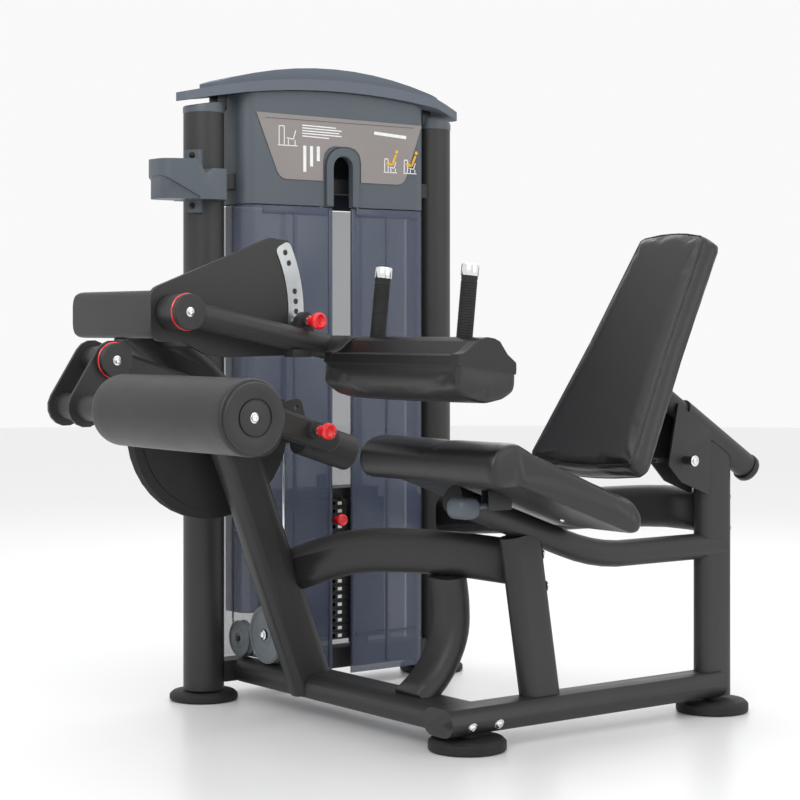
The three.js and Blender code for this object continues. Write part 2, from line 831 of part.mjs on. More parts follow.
function frontPost(grow = 0) {
  const lean = (post.frontTopY - post.frontBaseY) / (post.frontTopZ - base.centreZ);
  const baseZ = base.centreZ;
  const topZ = post.frontTopZ;
  const shape = stadium(post.thick + grow, oval.tall + grow);
  return ovalBar(
    shape,
    [base.sideX, post.frontBaseY, baseZ],
    [base.sideX, post.frontBaseY + lean * (topZ - baseZ), topZ],
    [1, 0, 0],
  );
}

function rearPost(grow = 0) {
  const shape = stadium(post.thick + grow, oval.tall + grow);
  const low = base.centreZ - oval.wide / 2 + GAP;
  return ovalBar(shape, [base.sideX, post.rearY, low], [base.sideX, post.rearY, post.rearTopZ], [1, 0, 0]);
}

function railPoints() {
  const along = (y) => rail.flatZ + (rail.bendY - y) * Math.tan(rail.slope);
  return [
    [base.sideX, rail.frontY, along(rail.frontY)],
    [base.sideX, rail.bendY, rail.flatZ],
    [base.sideX, post.rearY + 24, rail.flatZ],
  ];
}

function seatRail(grow = 0) {
  const [front, bend, rear] = railPoints().map((point) => new THREE.Vector3(...point));
  const before = bend.clone().lerp(front, 0.22);
  const after = bend.clone().lerp(rear, 0.22);
  const path = new THREE.CurvePath();
  path.add(new THREE.LineCurve3(front, before));
  path.add(new THREE.QuadraticBezierCurve3(before, bend, after));
  path.add(new THREE.LineCurve3(after, rear));
  return sweep(circle(rail.radius + grow / 2, 20), path, 20);
}

function archTube(grow = 0) {
  const shape = stadium(oval.tall + grow, oval.wide + grow);
  return sweep(
    shape,
    curveThrough([
      [365, 86, 383],
      [233, 30, 393],
      [127, -20, 396],
      [0, -70, 388],
      [-80, -104, 368],
      [-165, -142, 336],
    ]),
    18,
  );
}

function braceTube() {
  const x = 215;
  const shape = stadium(oval.tall, oval.wide);
  return sweep(
    shape,
    curveThrough([
      [x, 4, 346],
      [x, 12, 290],
      [x, 10, 225],
      [x, -16, 165],
      [x, -52, 120],
      [x, -96, 86],
    ]),
    20,
  );
}

function rearCross(grow = 0) {
  const shape = stadium(oval.tall + grow, oval.wide - 4 + grow);
  return sweep(
    shape,
    curveThrough([
      [base.sideX, 652, 466],
      [250, 632, 470],
      [60, 594, 455],
      [-200, 545, 425],
      [tower.x, tower.rearY, 404],
    ]),
    14,
  );
}

// The upright leans forward from the cross tube and bends under the head beam.
function uprightTube(grow = 0) {
  const x = upright.x;
  const halfWide = (upright.wide + grow) / 2;
  const halfTall = (upright.tall + grow) / 2;
  const shape = rectangle(-halfWide, halfWide, -halfTall, halfTall, upright.corner);
  return sweep(
    shape,
    curveThrough([
      [x, -96, 62],
      [x, -160, 225],
      [x, -228, 410],
      [x, -298, 590],
      [x, -370, 742],
      [x, -446, 808],
      [x, -520, 862],
      [x, -578, 902],
    ]),
    28,
  );
}

// The level beam on top of the upright, along X, with its far end rounded off.
function headBeam() {
  const nearX = sector.farX - GAP;
  const section = rectangle(head.frontY, head.rearY, head.low, head.high, head.corner);
  const side = outline([
    [head.low, head.farX, head.endCorner],
    [head.low, nearX],
    [head.high, nearX],
    [head.high, head.farX, head.endCorner],
  ]);
  return common(slab(section, "x", head.farX - 5, nearX), slab(side, "y", head.frontY - 5, head.rearY + 5));
}

function buildFrame() {
  add("base_side_tube", cut(sideTube(), rearPost(2 * GAP)), "frame");
  const columnFoot = [tower.x, tower.rearY, 0];
  const columnRoom = rod(tower.columnRadius + GAP, columnFoot, [tower.x, tower.rearY, 900], 32);
  add("base_cross_tube", cut(crossTube(), sideTube(2 * GAP)), "frame");
  const guideRoom = guideBar(guide.radius + GAP);
  add("front_post", cut(frontPost(), sideTube(2 * GAP), seatRail(2 * GAP)), "frame");
  add("rear_post", cut(rearPost(), guideRoom), "frame");
  add("seat_rail", cut(seatRail(), rearPost(2 * GAP)), "frame");
  add("arch_tube", cut(archTube(), frontPost(2 * GAP), uprightTube(2 * GAP)), "frame");
  add("brace_tube", cut(braceTube(), archTube(2 * GAP), crossTube(2 * GAP)), "frame");
  add("rear_cross_tube", cut(rearCross(), rearPost(2 * GAP), seatRail(2 * GAP), columnRoom), "frame");

  const housingRoom = axle(40 + GAP, upright.x - 80, upright.x + 80, pivot.y, pivot.z, 28);
  const shaftRoom = axle(16 + GAP, upright.x, 10, hub.y, hub.z, 20);
  const weldment = join(uprightTube(), headBeam());
  add("upright", cut(weldment, crossTube(2 * GAP), housingRoom, shaftRoom), "frame");
  const ring = cut(
    axle(40, upright.x - 38, upright.x + 38, pivot.y, pivot.z, 28),
    axle(lever.shaftRadius + GAP, upright.x - 60, upright.x + 60, pivot.y, pivot.z, 20),
  );
  add("pivot_housing", ring, "frame");
}

// ---------------------------------------------------------------- sector plate and thigh arm

function sectorPoint(radius, degrees) {
  const angle = THREE.MathUtils.degToRad(degrees);
  return [hub.y + radius * Math.cos(angle), hub.z + radius * Math.sin(angle)];
}

function buildSector() {
  const rim = [];
  for (let degrees = -16; degrees <= 30; degrees += 4) {
    rim.push([...sectorPoint(sector.stripRadius + 20, degrees), 0]);
  }
  const shape = outline([
    [-627, 863, 30],
    [-545, 863, 30],
    [-492, 836, 30],
    [-440, 829, 60],
    ...rim,
    [...sectorPoint(300, 33), 14],
    [-627, 974, 30],
  ]);
  const standoff = axle(24, upright.x + 32, sector.farX + 1, -500, 872, 20);
  const bore = axle(16 + GAP, upright.x - 5, 100, hub.y, hub.z, 20);
  const holes = [24.5, 20, 8.5, 4.5, 0.5].map((degrees) => {
    const [y, z] = sectorPoint(sector.stripRadius, degrees);
    return axle(6.5, -20, 30, y, z, 10);
  });
  const plate = slab(shape, "x", sector.farX, sector.nearX);
  add("sector_plate", cut(join(plate, standoff), bore, ...holes, uprightTube(2 * GAP)), "frame");

  const outer = [];
  const inner = [];
  for (let degrees = -12; degrees <= 28; degrees += 4) {
    const rounding = degrees === -12 || degrees === 28 ? 12 : 0;
    outer.push([...sectorPoint(sector.stripRadius + 20, degrees), rounding]);
    inner.unshift([...sectorPoint(sector.stripRadius - 20, degrees), rounding]);
  }
  const stripShape = outline([...outer, ...inner]);
  const face = sector.nearX + GAP;
  add("range_strip", cut(slab(stripShape, "x", face, face + 2), ...holes), "steel");
}

const armAngle = THREE.MathUtils.degToRad(-11.6);

function armPoint(distance, lift = 0) {
  return [
    hub.y + distance * Math.cos(armAngle) - lift * Math.sin(armAngle),
    hub.z + distance * Math.sin(armAngle) + lift * Math.cos(armAngle),
  ];
}

const thighPin = { radius: 315, degrees: -3.4 };

function knobPin(tipX, y, z, collarX) {
  const knob = turned(
    [
      [0, 0],
      [11, 0],
      [11, 14],
      [18, 22],
      [19, 36],
      [14, 42],
      [0, 42],
    ],
    "x",
    [collarX, y, z],
    20,
  );
  return join(knob, axle(5, tipX, collarX + 2, y, z, 10));
}

function buildThighArm() {
  const [startY, startZ] = armPoint(0);
  const [bendY, bendZ] = armPoint(385);
  const sleeveX = sector.nearX + 4;
  const tube = join(
    rod(thigh.armRadius, [thigh.armX, startY, startZ], [thigh.armX, bendY, bendZ], 18),
    rod(thigh.armRadius, [thigh.armX, bendY, bendZ], [thigh.padFar - 1, bendY, bendZ], 18),
    new THREE.SphereGeometry(thigh.armRadius + 0.2, 14, 8).translate(thigh.armX, bendY, bendZ),
  );
  const sleeve = axle(hub.radius, sleeveX, thigh.capX, hub.y, hub.z, 32);
  const shaft = axle(16, upright.x + 8, sleeveX + 5, hub.y, hub.z, 16);
  const [pinY, pinZ] = sectorPoint(thighPin.radius, thighPin.degrees);
  const [lugY, lugZ] = armPoint(310);
  const lug = slab(
    outline([
      [lugY - 30, lugZ],
      [lugY + 32, lugZ],
      [pinY + 19, pinZ + 8, 16],
      [pinY, pinZ + 27, 16],
      [pinY - 19, pinZ + 8, 16],
    ]),
    "x",
    38,
    58,
  );
  const bore = axle(5 + 0.4, 0, 100, pinY, pinZ, 10);
  const [bumpY, bumpZ] = armPoint(300, -32);
  const bumper = box([46, 82], [bumpY - 24, bumpY + 24], [bumpZ - 5, bumpZ + 12]);
  const body = cut(join(tube, sleeve, shaft, lug, bumper), bore);
  add("thigh_arm", body, "frame");
  add("thigh_pin", knobPin(sector.nearX + 3.2, pinY, pinZ, 66), "red");

  const pad = outline(
    [
      [-127, 824, 14],
      [-129, 764, 22],
      [-160, 748, 24],
      [-202, 741, 30],
      [-250, 752, 22],
      [-286, 776, 14],
      [-280, 840, 12],
      [-232, 875, 16],
      [-186, 875, 16],
    ].reverse(),
    3,
  );
  add("thigh_pad", softSlab(pad, "x", thigh.padFar, thigh.padNear, 10), "upholstery");
  const grips = { grip_far: 215, grip_near: 510 };
  for (const [name, x] of Object.entries(grips)) {
    add(name, rod(17, [x, -186, 881], [x, -170, 1021], 16), "rubber");
  }
}

// ---------------------------------------------------------------- exercise lever

function leverPoint(share, lift = 0) {
  const along = new THREE.Vector2(lever.rearY - lever.hubY, lever.rearZ - lever.hubZ);
  const unit = along.clone().normalize();
  return [
    lever.hubY + along.x * share - unit.y * lift,
    lever.hubZ + along.y * share + unit.x * lift,
  ];
}

function buildLever() {
  const half = lever.thick / 2;
  const beam = softSlab(
    linkShape(lever.width / 2, leverPoint(0), leverPoint(1)),
    "x",
    lever.x - half,
    lever.x + half,
    8,
  );
  const boss = axle(lever.bossRadius, lever.x - half, lever.x + half, pivot.y, pivot.z, 32);
  const hubBarrel = axle(29, -99.6, -21.4, lever.hubY, lever.hubZ, 24);
  const shaftBore = axle(lever.shaftRadius + GAP, -200, 0, pivot.y, pivot.z, 20);
  const hubBore = axle(12 + GAP, -200, 0, lever.hubY, lever.hubZ, 16);
  const [pinY, pinZ] = [-181, 663];
  const pinBoss = axle(19, lever.x + half - 1, lever.x + half + 15, pinY, pinZ, 20);
  const pinBore = axle(5.4, -200, 100, pinY, pinZ, 10);
  const hollows = [
    [0.1, 0.5],
    [0.79, 0.95],
  ].map(([from, to]) =>
    slab(linkShape(25, leverPoint(from), leverPoint(to)), "x", lever.x - half + 4, lever.x + half - 4),
  );
  const [drainY, drainZ] = leverPoint(0.3);
  const drain = axle(4, lever.x - half - 5, lever.x, drainY, drainZ, 8);
  add(
    "lever_arm",
    cut(join(beam, boss, hubBarrel, pinBoss), shaftBore, hubBore, pinBore, ...hollows, drain),
    "frame",
  );
  const pinCollar = lever.x + half + 22;
  add("start_pin", knobPin(lever.x - half - 2, pinY, pinZ, pinCollar), "red");

  const weightX = lever.x - half - GAP - 43;
  const [fromY, fromZ] = leverPoint(0.965, -4);
  const [toY, toZ] = leverPoint(1.2, -4);
  add(
    "lever_counterweight",
    rod(42, [weightX, fromY, fromZ], [weightX, toY, toZ], 24),
    "frame",
  );

  const farX = cam.x - 30;
  const shaft = axle(lever.shaftRadius, farX, lever.x + half - 4, pivot.y, pivot.z, 20);
  const startPlate = slab(
    outline([
      [pivot.y - 36, pivot.z - 30, 20],
      [pivot.y + 146, pivot.z - 34, 20],
      [pivot.y + 162, pivot.z + 4, 16],
      [pivot.y + 148, pivot.z + 68, 16],
      [pivot.y - 20, pivot.z + 40, 24],
    ]),
    "x",
    -100,
    -92,
  );
  const starts = [0, 10, 20].map((degrees) => {
    const angle = THREE.MathUtils.degToRad(degrees - 1.2);
    const y = pivot.y + 141 * Math.cos(angle);
    return axle(6.2, -120, -80, y, pivot.z + 141 * Math.sin(angle), 10);
  });
  add("lever_shaft", cut(join(shaft, startPlate), ...starts), "steel");

  const camDisc = sheave(
    cam.grooveRadius,
    cam.radius,
    cam.width,
    lever.shaftRadius + GAP,
    "x",
    [cam.x, pivot.y, pivot.z],
    40,
  );
  const crown = box(
    [cam.x - 30, cam.x + 30],
    [pivot.y - 250, pivot.y + 250],
    [pivot.z + cam.crown, pivot.z + 250],
  );
  add("cam_disc", cut(camDisc, crown), "frame");

  const plates = [link.nearX, link.farX].map((x) =>
    slab(
      linkShape(link.radius, [lever.hubY, lever.hubZ], [link.rollerY, link.rollerZ]),
      "x",
      x,
      x + link.plate,
    ),
  );
  const hubShaft = axle(12, link.farX + 1, 4, lever.hubY, lever.hubZ, 16);
  const cap = axle(37, link.nearX + link.plate - 1, 6, lever.hubY, lever.hubZ, 28);
  const spacer = axle(28, link.farX + 1, roller.far - 4, link.rollerY, link.rollerZ, 24);
  const rollerShaft = axle(
    roller.shaftRadius,
    roller.far - 5,
    roller.near - 6,
    link.rollerY,
    link.rollerZ,
    20,
  );
  const shaftHollow = axle(16, link.farX - 5, roller.near - 12, link.rollerY, link.rollerZ, 12);
  const body = join(...plates, hubShaft, cap, spacer, rollerShaft);
  add("roller_link", cut(body, shaftHollow), "frame");

  const foam = turned(
    [
      [roller.boreRadius, roller.far],
      [roller.radius - 8, roller.far],
      [roller.radius, roller.far + 8],
      [roller.radius, roller.near - 8],
      [roller.radius - 8, roller.near],
      [0, roller.near],
      [0, roller.near - 5],
      [roller.boreRadius, roller.near - 5],
      [roller.boreRadius, roller.far],
    ],
    "x",
    [0, link.rollerY, link.rollerZ],
    32,
  );
  add("roller_pad", foam, "upholstery");
}

// Two circles of one radius and their common tangents.
function linkShape(radius, [y0, z0], [y1, z1]) {
  const turn = Math.atan2(z1 - z0, y1 - y0);
  const points = [];
  for (let step = 0; step <= 8; step += 1) {
    const angle = turn - Math.PI / 2 + (Math.PI * step) / 8;
    points.push(new THREE.Vector2(y1 + radius * Math.cos(angle), z1 + radius * Math.sin(angle)));
  }
  for (let step = 0; step <= 8; step += 1) {
    const angle = turn + Math.PI / 2 + (Math.PI * step) / 8;
    points.push(new THREE.Vector2(y0 + radius * Math.cos(angle), z0 + radius * Math.sin(angle)));
  }
  return new THREE.Shape(points);
}

// ---------------------------------------------------------------- seat and back

function buildSeat() {
  const profile = outline(
    [
      [-204, 636, 46],
      [-186, 557, 34],
      [-118, 571, 24],
      [214, 451, 20],
      [232, 492, 30],
      [207, 523, 20],
      [-138, 664, 50],
    ],
    4,
  );
  const pad = softSlab(profile, "x", 147, 607, 12);
  add("seat_pad", pad, "upholstery");

  const grip = rectangle(-160, -104, 496, 541, 18);
  const handle = softSlab(grip, "x", 412, 466, 10);
  const stem = rod(7, [439, -120, 518], [439, -60, 522], 10);
  add("seat_lever", join(handle, stem), "plastic");
}

function guidePoint(distance) {
  return [
    base.sideX,
    guide.topY + distance * Math.cos(guide.angle),
    guide.topZ - distance * Math.sin(guide.angle),
  ];
}

function guideBar(radius, from = 0, to = guide.length, sides = 24) {
  return rod(radius, guidePoint(from), guidePoint(to), sides);
}

function buildBack() {
  const boss = [545, 590];
  const gussets = [base.sideX + post.thick / 2 + 0.6, base.sideX - post.thick / 2 - 5.6].map((x) =>
    slab(
      outline([
        [524, 721],
        [632, 653],
        [624, 506, 6],
        [537, 540, 6],
        [494, 583, 8],
      ]),
      "x",
      x,
      x + 5,
    ),
  );
  const tube = guideBar(guide.radius);
  const crossBoss = axle(10, base.sideX - 34, base.sideX + 62, boss[0], boss[1], 16);
  const bore = guideBar(guide.bore, -5, guide.length - 8);
  const sidesOnly = cut(join(...gussets.map((plate) => join(plate, tube)), crossBoss), bore);
  add("guide_tube", cut(sidesOnly, rearPost(2 * GAP)), "frame");

  const lockArm = slab(
    outline([
      [478, 585, 4],
      [526, 584],
      [530, 572, 8],
      [566, 572, 16],
      [566, 608, 16],
      [530, 608, 8],
      [526, 596],
      [478, 595, 4],
    ]),
    "x",
    base.sideX - 6,
    base.sideX + 6,
  );
  add("back_lock_lever", cut(lockArm, axle(10.4, 300, 450, boss[0], boss[1], 16)), "frame");

  const tilt = THREE.MathUtils.degToRad(30);
  const padShape = outline(
    [
      [-176, 2, 26],
      [0, -14, 900],
      [176, 2, 26],
      [135, 300, 900],
      [109, 592, 24],
      [0, 612, 400],
      [-109, 592, 24],
      [-135, 300, 900],
    ],
    5,
  );
  const place = new THREE.Matrix4().makeBasis(
    new THREE.Vector3(1, 0, 0),
    new THREE.Vector3(0, Math.sin(tilt), Math.cos(tilt)),
    new THREE.Vector3(0, -Math.cos(tilt), Math.sin(tilt)),
  );
  place.setPosition(base.sideX, 237.5 + 62 * Math.cos(tilt), 594 - 62 * Math.sin(tilt));
  const padBody = new THREE.ExtrudeGeometry(padShape, {
    depth: 62 - 24,
    bevelEnabled: true,
    bevelThickness: 12,
    bevelSize: 12,
    bevelOffset: -12,
    bevelSegments: 2,
  });
  padBody.translate(0, 0, 12);
  add("back_pad", padBody.applyMatrix4(place), "upholstery");

  const plateShape = rectangle(-90, 90, 120, 420, 20);
  const plate = new THREE.ExtrudeGeometry(plateShape, { depth: 8, bevelEnabled: false });
  plate.translate(0, 0, -8 - GAP);
  plate.applyMatrix4(place);
  const front = guidePoint(-262);
  const slider = rod(guide.bore - 1, front, guidePoint(110), 20);
  const halfSpace = new THREE.BoxGeometry(600, 900, 400).translate(0, 250, 200 - GAP);
  halfSpace.applyMatrix4(place);
  add("back_slide", cut(join(plate, slider), halfSpace), "steel");
}

// ---------------------------------------------------------------- assembly

buildFeet();
buildTowerFrame();
buildGuideRods();
buildStack();
buildPulleys();
buildCable();
buildShrouds();
buildHousing();
buildCupHolder();
buildFrame();
buildSector();
buildThighArm();
buildLever();
buildSeat();
buildBack();

machine.position.set(-middle.x, -middle.y, 0);

export default machine;
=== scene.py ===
"""A seated leg machine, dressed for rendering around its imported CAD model.

Everything is in metres in the model's own frame: the user sits facing -Y, the weight-stack
tower is on the -X side, and the origin is on the floor under the middle of the machine.
"""

import json
import math

import bmesh
import bpy
from mathutils import Matrix, Vector


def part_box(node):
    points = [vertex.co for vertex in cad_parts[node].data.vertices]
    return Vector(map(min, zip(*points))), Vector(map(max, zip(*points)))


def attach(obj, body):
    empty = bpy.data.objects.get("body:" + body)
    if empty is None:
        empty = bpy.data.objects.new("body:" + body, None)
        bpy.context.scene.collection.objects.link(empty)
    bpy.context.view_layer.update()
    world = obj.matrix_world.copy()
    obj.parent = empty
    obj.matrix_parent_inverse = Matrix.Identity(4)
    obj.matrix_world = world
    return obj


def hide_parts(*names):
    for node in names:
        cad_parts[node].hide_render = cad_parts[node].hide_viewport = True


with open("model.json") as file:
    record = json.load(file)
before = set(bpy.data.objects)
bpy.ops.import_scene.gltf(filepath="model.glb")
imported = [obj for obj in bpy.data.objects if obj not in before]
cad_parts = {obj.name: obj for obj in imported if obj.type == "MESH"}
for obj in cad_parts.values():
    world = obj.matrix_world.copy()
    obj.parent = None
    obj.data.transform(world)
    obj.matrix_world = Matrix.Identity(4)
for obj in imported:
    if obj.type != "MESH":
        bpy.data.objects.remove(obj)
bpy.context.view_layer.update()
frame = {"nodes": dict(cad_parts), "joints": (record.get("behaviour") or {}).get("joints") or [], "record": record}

# ---------------------------------------------------------------- driving values

X_AXIS = Vector((1, 0, 0))
Y_AXIS = Vector((0, 1, 0))
Z_AXIS = Vector((0, 0, 1))

BACK_LEAN = math.radians(30)
GUIDE_SLOPE = math.radians(32.1)
GUIDE_AXIS = Vector((0, math.cos(GUIDE_SLOPE), -math.sin(GUIDE_SLOPE)))
JOINTS = {joint["name"]: joint for joint in frame["joints"]}
BODY_OF = {
    node: body
    for body, nodes in frame["record"]["behaviour"]["bodies"].items()
    for node in nodes
}


def axis_point(joint):
    """The point that a joint turns about."""
    return Vector(JOINTS[joint]["pos_m"])


def middle_of(node):
    low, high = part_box(node)
    return (low + high) / 2


# ---------------------------------------------------------------- materials


class Look:
    """A material being built: its node tree and its main shader."""

    def __init__(self, name, color, roughness, metallic=0.0):
        self.material = bpy.data.materials.new(name)
        self.material.use_nodes = True
        self.nodes = self.material.node_tree.nodes
        self.links = self.material.node_tree.links
        self.shader = self.nodes["Principled BSDF"]
        self.color = color
        self.roughness = roughness
        self.set("Base Color", (*color, 1))
        self.set("Roughness", roughness)
        self.set("Metallic", metallic)
        self.place = self.nodes.new("ShaderNodeTexCoord").outputs["Object"]

    def set(self, socket, value):
        self.shader.inputs[socket].default_value = value

    def noise(self, scale, detail=3.0, stretch=(1, 1, 1)):
        source = self.place
        if stretch != (1, 1, 1):
            mapping = self.nodes.new("ShaderNodeMapping")
            mapping.inputs["Scale"].default_value = stretch
            self.links.new(self.place, mapping.inputs["Vector"])
            source = mapping.outputs["Vector"]
        texture = self.nodes.new("ShaderNodeTexNoise")
        texture.inputs["Scale"].default_value = scale
        texture.inputs["Detail"].default_value = detail
        self.links.new(source, texture.inputs["Vector"])
        return texture.outputs["Fac"]

    def cells(self, scale, feature="F1"):
        texture = self.nodes.new("ShaderNodeTexVoronoi")
        texture.feature = feature
        texture.inputs["Scale"].default_value = scale
        self.links.new(self.place, texture.inputs["Vector"])
        return texture.outputs["Distance"]

    def ramp(self, value, low, high, dark, light):
        """Colours that run from dark to light as the value goes from low to high."""
        node = self.nodes.new("ShaderNodeValToRGB")
        node.color_ramp.elements[0].position = low
        node.color_ramp.elements[1].position = high
        node.color_ramp.elements[0].color = (*dark, 1)
        node.color_ramp.elements[1].color = (*light, 1)
        self.links.new(value, node.inputs["Fac"])
        return node.outputs["Color"]

    def mottle(self, scale, spread):
        """Slow changes of colour, a share of the base colour either way."""
        dark = [channel * (1 - spread) for channel in self.color]
        light = [channel * (1 + spread) for channel in self.color]
        color = self.ramp(self.noise(scale), 0.35, 0.65, dark, light)
        self.links.new(color, self.shader.inputs["Base Color"])
        return self

    def uneven_gloss(self, scale, spread, stretch=(1, 1, 1)):
        node = self.nodes.new("ShaderNodeMapRange")
        node.inputs["To Min"].default_value = self.roughness - spread
        node.inputs["To Max"].default_value = self.roughness + spread
        self.links.new(self.noise(scale, 4.0, stretch), node.inputs["Value"])
        self.links.new(node.outputs["Result"], self.shader.inputs["Roughness"])
        return self

    def relief(self, heights, depth):
        """Bumps: each height is an output and its share, and depth is in metres."""
        normal = None
        for height, share in heights:
            bump = self.nodes.new("ShaderNodeBump")
            bump.inputs["Distance"].default_value = depth * share
            bump.inputs["Strength"].default_value = 1.0
            self.links.new(height, bump.inputs["Height"])
            if normal is not None:
                self.links.new(normal, bump.inputs["Normal"])
            normal = bump.outputs["Normal"]
        self.links.new(normal, self.shader.inputs["Normal"])
        return self


def powder_coat():
    """Satin charcoal powder coat with a fine orange-peel skin."""
    look = Look("powder_coat", (0.021, 0.021, 0.0205), 0.46)
    look.mottle(3.0, 0.12).uneven_gloss(9.0, 0.05)
    look.relief([(look.noise(700.0, 2.0), 1.0), (look.noise(160.0, 2.0), 0.8)], 0.00022)
    return look.material


def shaded_cam_coat():
    """The cam's coat with painted shade: the frame's charcoal darkened for the shadow the cam sits in, and a
    little rougher than the frame's.
    """
    # Painted shade: this base colour is the frame's charcoal darkened for the shadow the cam sits in.
    look = Look("cam_painted_shade_coat", (0.009, 0.009, 0.0095), 0.52)
    look.mottle(6.0, 0.15).uneven_gloss(14.0, 0.06)
    look.relief([(look.noise(420.0, 3.0), 1.0)], 0.0003)
    return look.material


def cover_plastic():
    """Blue-grey moulded plastic with a spark-eroded grain."""
    look = Look("cover_plastic", (0.075, 0.092, 0.108), 0.42)
    look.mottle(2.2, 0.05).uneven_gloss(20.0, 0.04)
    look.relief([(look.noise(1100.0, 2.0), 1.0), (look.cells(600.0), 0.4)], 0.00012)
    return look.material


def cap_plastic():
    """Black end caps and bushes, with a fine grain."""
    look = Look("cap_plastic", (0.006, 0.006, 0.0064), 0.33)
    look.mottle(9.0, 0.12).uneven_gloss(30.0, 0.05)
    look.relief([(look.noise(900.0, 2.0), 1.0)], 0.00012)
    return look.material


def clear_panel(name, color, alpha):
    """Smoked blue-grey polycarbonate that shows what is behind it."""
    look = Look(name, color, 0.2)
    look.mottle(1.4, 0.05).uneven_gloss(3.0, 0.04)
    look.relief([(look.noise(5.0, 1.0), 1.0)], 0.00012)
    look.set("Alpha", alpha)
    look.set("IOR", 1.45)
    return look.material


def placard_card():
    """Taupe printed sheet under a satin film."""
    look = Look("placard_card", (0.245, 0.222, 0.212), 0.4)
    look.mottle(5.0, 0.04).uneven_gloss(25.0, 0.05)
    look.relief([(look.noise(600.0, 2.0), 1.0)], 0.00006)
    return look.material


def printed(name, color):
    """Printed ink on the placard."""
    look = Look(name, color, 0.45)
    look.mottle(60.0, 0.06).uneven_gloss(80.0, 0.04)
    return look.material


def leatherette():
    """Black leatherette: pebbled grain, faint creases and a soft sheen."""
    look = Look("leatherette", (0.0032, 0.0032, 0.0035), 0.33)
    look.mottle(7.0, 0.2).uneven_gloss(26.0, 0.06)
    grain = look.cells(1150.0)
    look.relief([(grain, 0.6), (look.noise(420.0, 4.0), 0.4), (look.noise(35.0, 3.0), 0.9)], 0.00022)
    look.set("Specular IOR Level", 0.6)
    look.set("Sheen Weight", 0.04)
    look.set("Sheen Roughness", 0.45)
    return look.material


def integral_foam():
    """The roller's moulded foam skin."""
    look = Look("integral_foam", (0.013, 0.013, 0.0135), 0.42)
    look.mottle(8.0, 0.12).uneven_gloss(22.0, 0.05)
    look.relief([(look.cells(900.0), 1.0), (look.noise(60.0, 3.0), 1.2)], 0.0002)
    return look.material


def rubber():
    """Matt black rubber with a dusting of wear."""
    look = Look("rubber", (0.008, 0.008, 0.008), 0.7)
    look.mottle(18.0, 0.25).uneven_gloss(40.0, 0.08)
    look.relief([(look.noise(500.0, 4.0), 1.0)], 0.0003)
    return look.material


def bright_steel():
    """Polished steel with faint drawn lines."""
    look = Look("bright_steel", (0.78, 0.79, 0.8), 0.2, 1.0)
    look.mottle(30.0, 0.05).uneven_gloss(60.0, 0.08, (1, 1, 12))
    look.relief([(look.noise(300.0, 2.0, (12, 12, 1)), 1.0)], 0.00002)
    return look.material


def brushed_steel():
    """Satin steel sheet, brushed along its length."""
    look = Look("brushed_steel", (0.46, 0.475, 0.48), 0.34, 1.0)
    look.mottle(12.0, 0.1).uneven_gloss(50.0, 0.08, (1, 1, 14))
    look.relief([(look.noise(260.0, 2.0, (14, 14, 1)), 1.0)], 0.00003)
    return look.material


def stack_iron():
    """Black coated plate iron with a rolled skin."""
    look = Look("stack_iron", (0.012, 0.012, 0.013), 0.5, 0.2)
    look.mottle(14.0, 0.2).uneven_gloss(35.0, 0.08)
    look.relief([(look.noise(260.0, 4.0), 1.0)], 0.0002)
    return look.material


def red_plastic():
    """Glossy red knob plastic."""
    look = Look("red_plastic", (0.8, 0.012, 0.018), 0.24)
    look.mottle(40.0, 0.06).uneven_gloss(70.0, 0.05)
    look.relief([(look.noise(500.0, 2.0), 1.0)], 0.00004)
    look.set("Coat Weight", 0.4)
    return look.material


def pulley_nylon():
    """Grey glass-filled nylon."""
    look = Look("pulley_nylon", (0.15, 0.17, 0.185), 0.5)
    look.mottle(25.0, 0.08).uneven_gloss(60.0, 0.05)
    look.relief([(look.noise(800.0, 3.0), 1.0)], 0.00012)
    return look.material


LOOKS = {
    "coat": powder_coat(),
    # The cam's look carries painted shade: a darker copy of the frame's coat.
    "cam": shaded_cam_coat(),
    "cover": cover_plastic(),
    "cap": cap_plastic(),
    "panel": clear_panel("shroud_panel", (0.075, 0.092, 0.14), 0.7),
    "rear_panel": clear_panel("rear_panel", (0.14, 0.16, 0.23), 0.42),
    "card": placard_card(),
    "leather": leatherette(),
    "foam": integral_foam(),
    "rubber": rubber(),
    "steel": bright_steel(),
    "brushed": brushed_steel(),
    "iron": stack_iron(),
    "red": red_plastic(),
    "nylon": pulley_nylon(),
    "white_ink": printed("white_ink", (0.8, 0.8, 0.79)),
    "dark_ink": printed("dark_ink", (0.06, 0.07, 0.08)),
    "yellow_ink": printed("yellow_ink", (0.75, 0.42, 0.02)),
}

# ---------------------------------------------------------------- mesh helpers


def finish_piece(name, bm, look, body, smooth=38, replaces=()):
    """Turns a bmesh into a shown piece that rides on a body."""
    bmesh.ops.recalc_face_normals(bm, faces=bm.faces)
    mesh = bpy.data.meshes.new(name)
    bm.to_mesh(mesh)
    bm.free()
    piece = bpy.data.objects.new(name, mesh)
    bpy.context.scene.collection.objects.link(piece)
    mesh.materials.append(LOOKS[look])
    mesh.shade_smooth()
    mesh.set_sharp_from_angle(angle=math.radians(smooth))
    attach(piece, body)
    if replaces:
        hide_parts(*replaces)
    return piece


def add_modifier(piece, kind, **settings):
    modifier = piece.modifiers.new(kind.lower(), kind)
    for key, value in settings.items():
        setattr(modifier, key, value)
    return modifier


def soften(piece, width, segments=2, angle=42):
    """Rounds a piece's edges, as a cast, moulded or coated edge is."""
    add_modifier(
        piece,
        "BEVEL",
        width=width,
        segments=segments,
        limit_method="ANGLE",
        angle_limit=math.radians(angle),
        harden_normals=True,
    )
    return piece


def ring_frame(direction, hint):
    """Two unit directions across a direction; the first is as near to hint as it can be."""
    along = direction.normalized()
    across = (hint - along * hint.dot(along)).normalized()
    return across, along.cross(across)


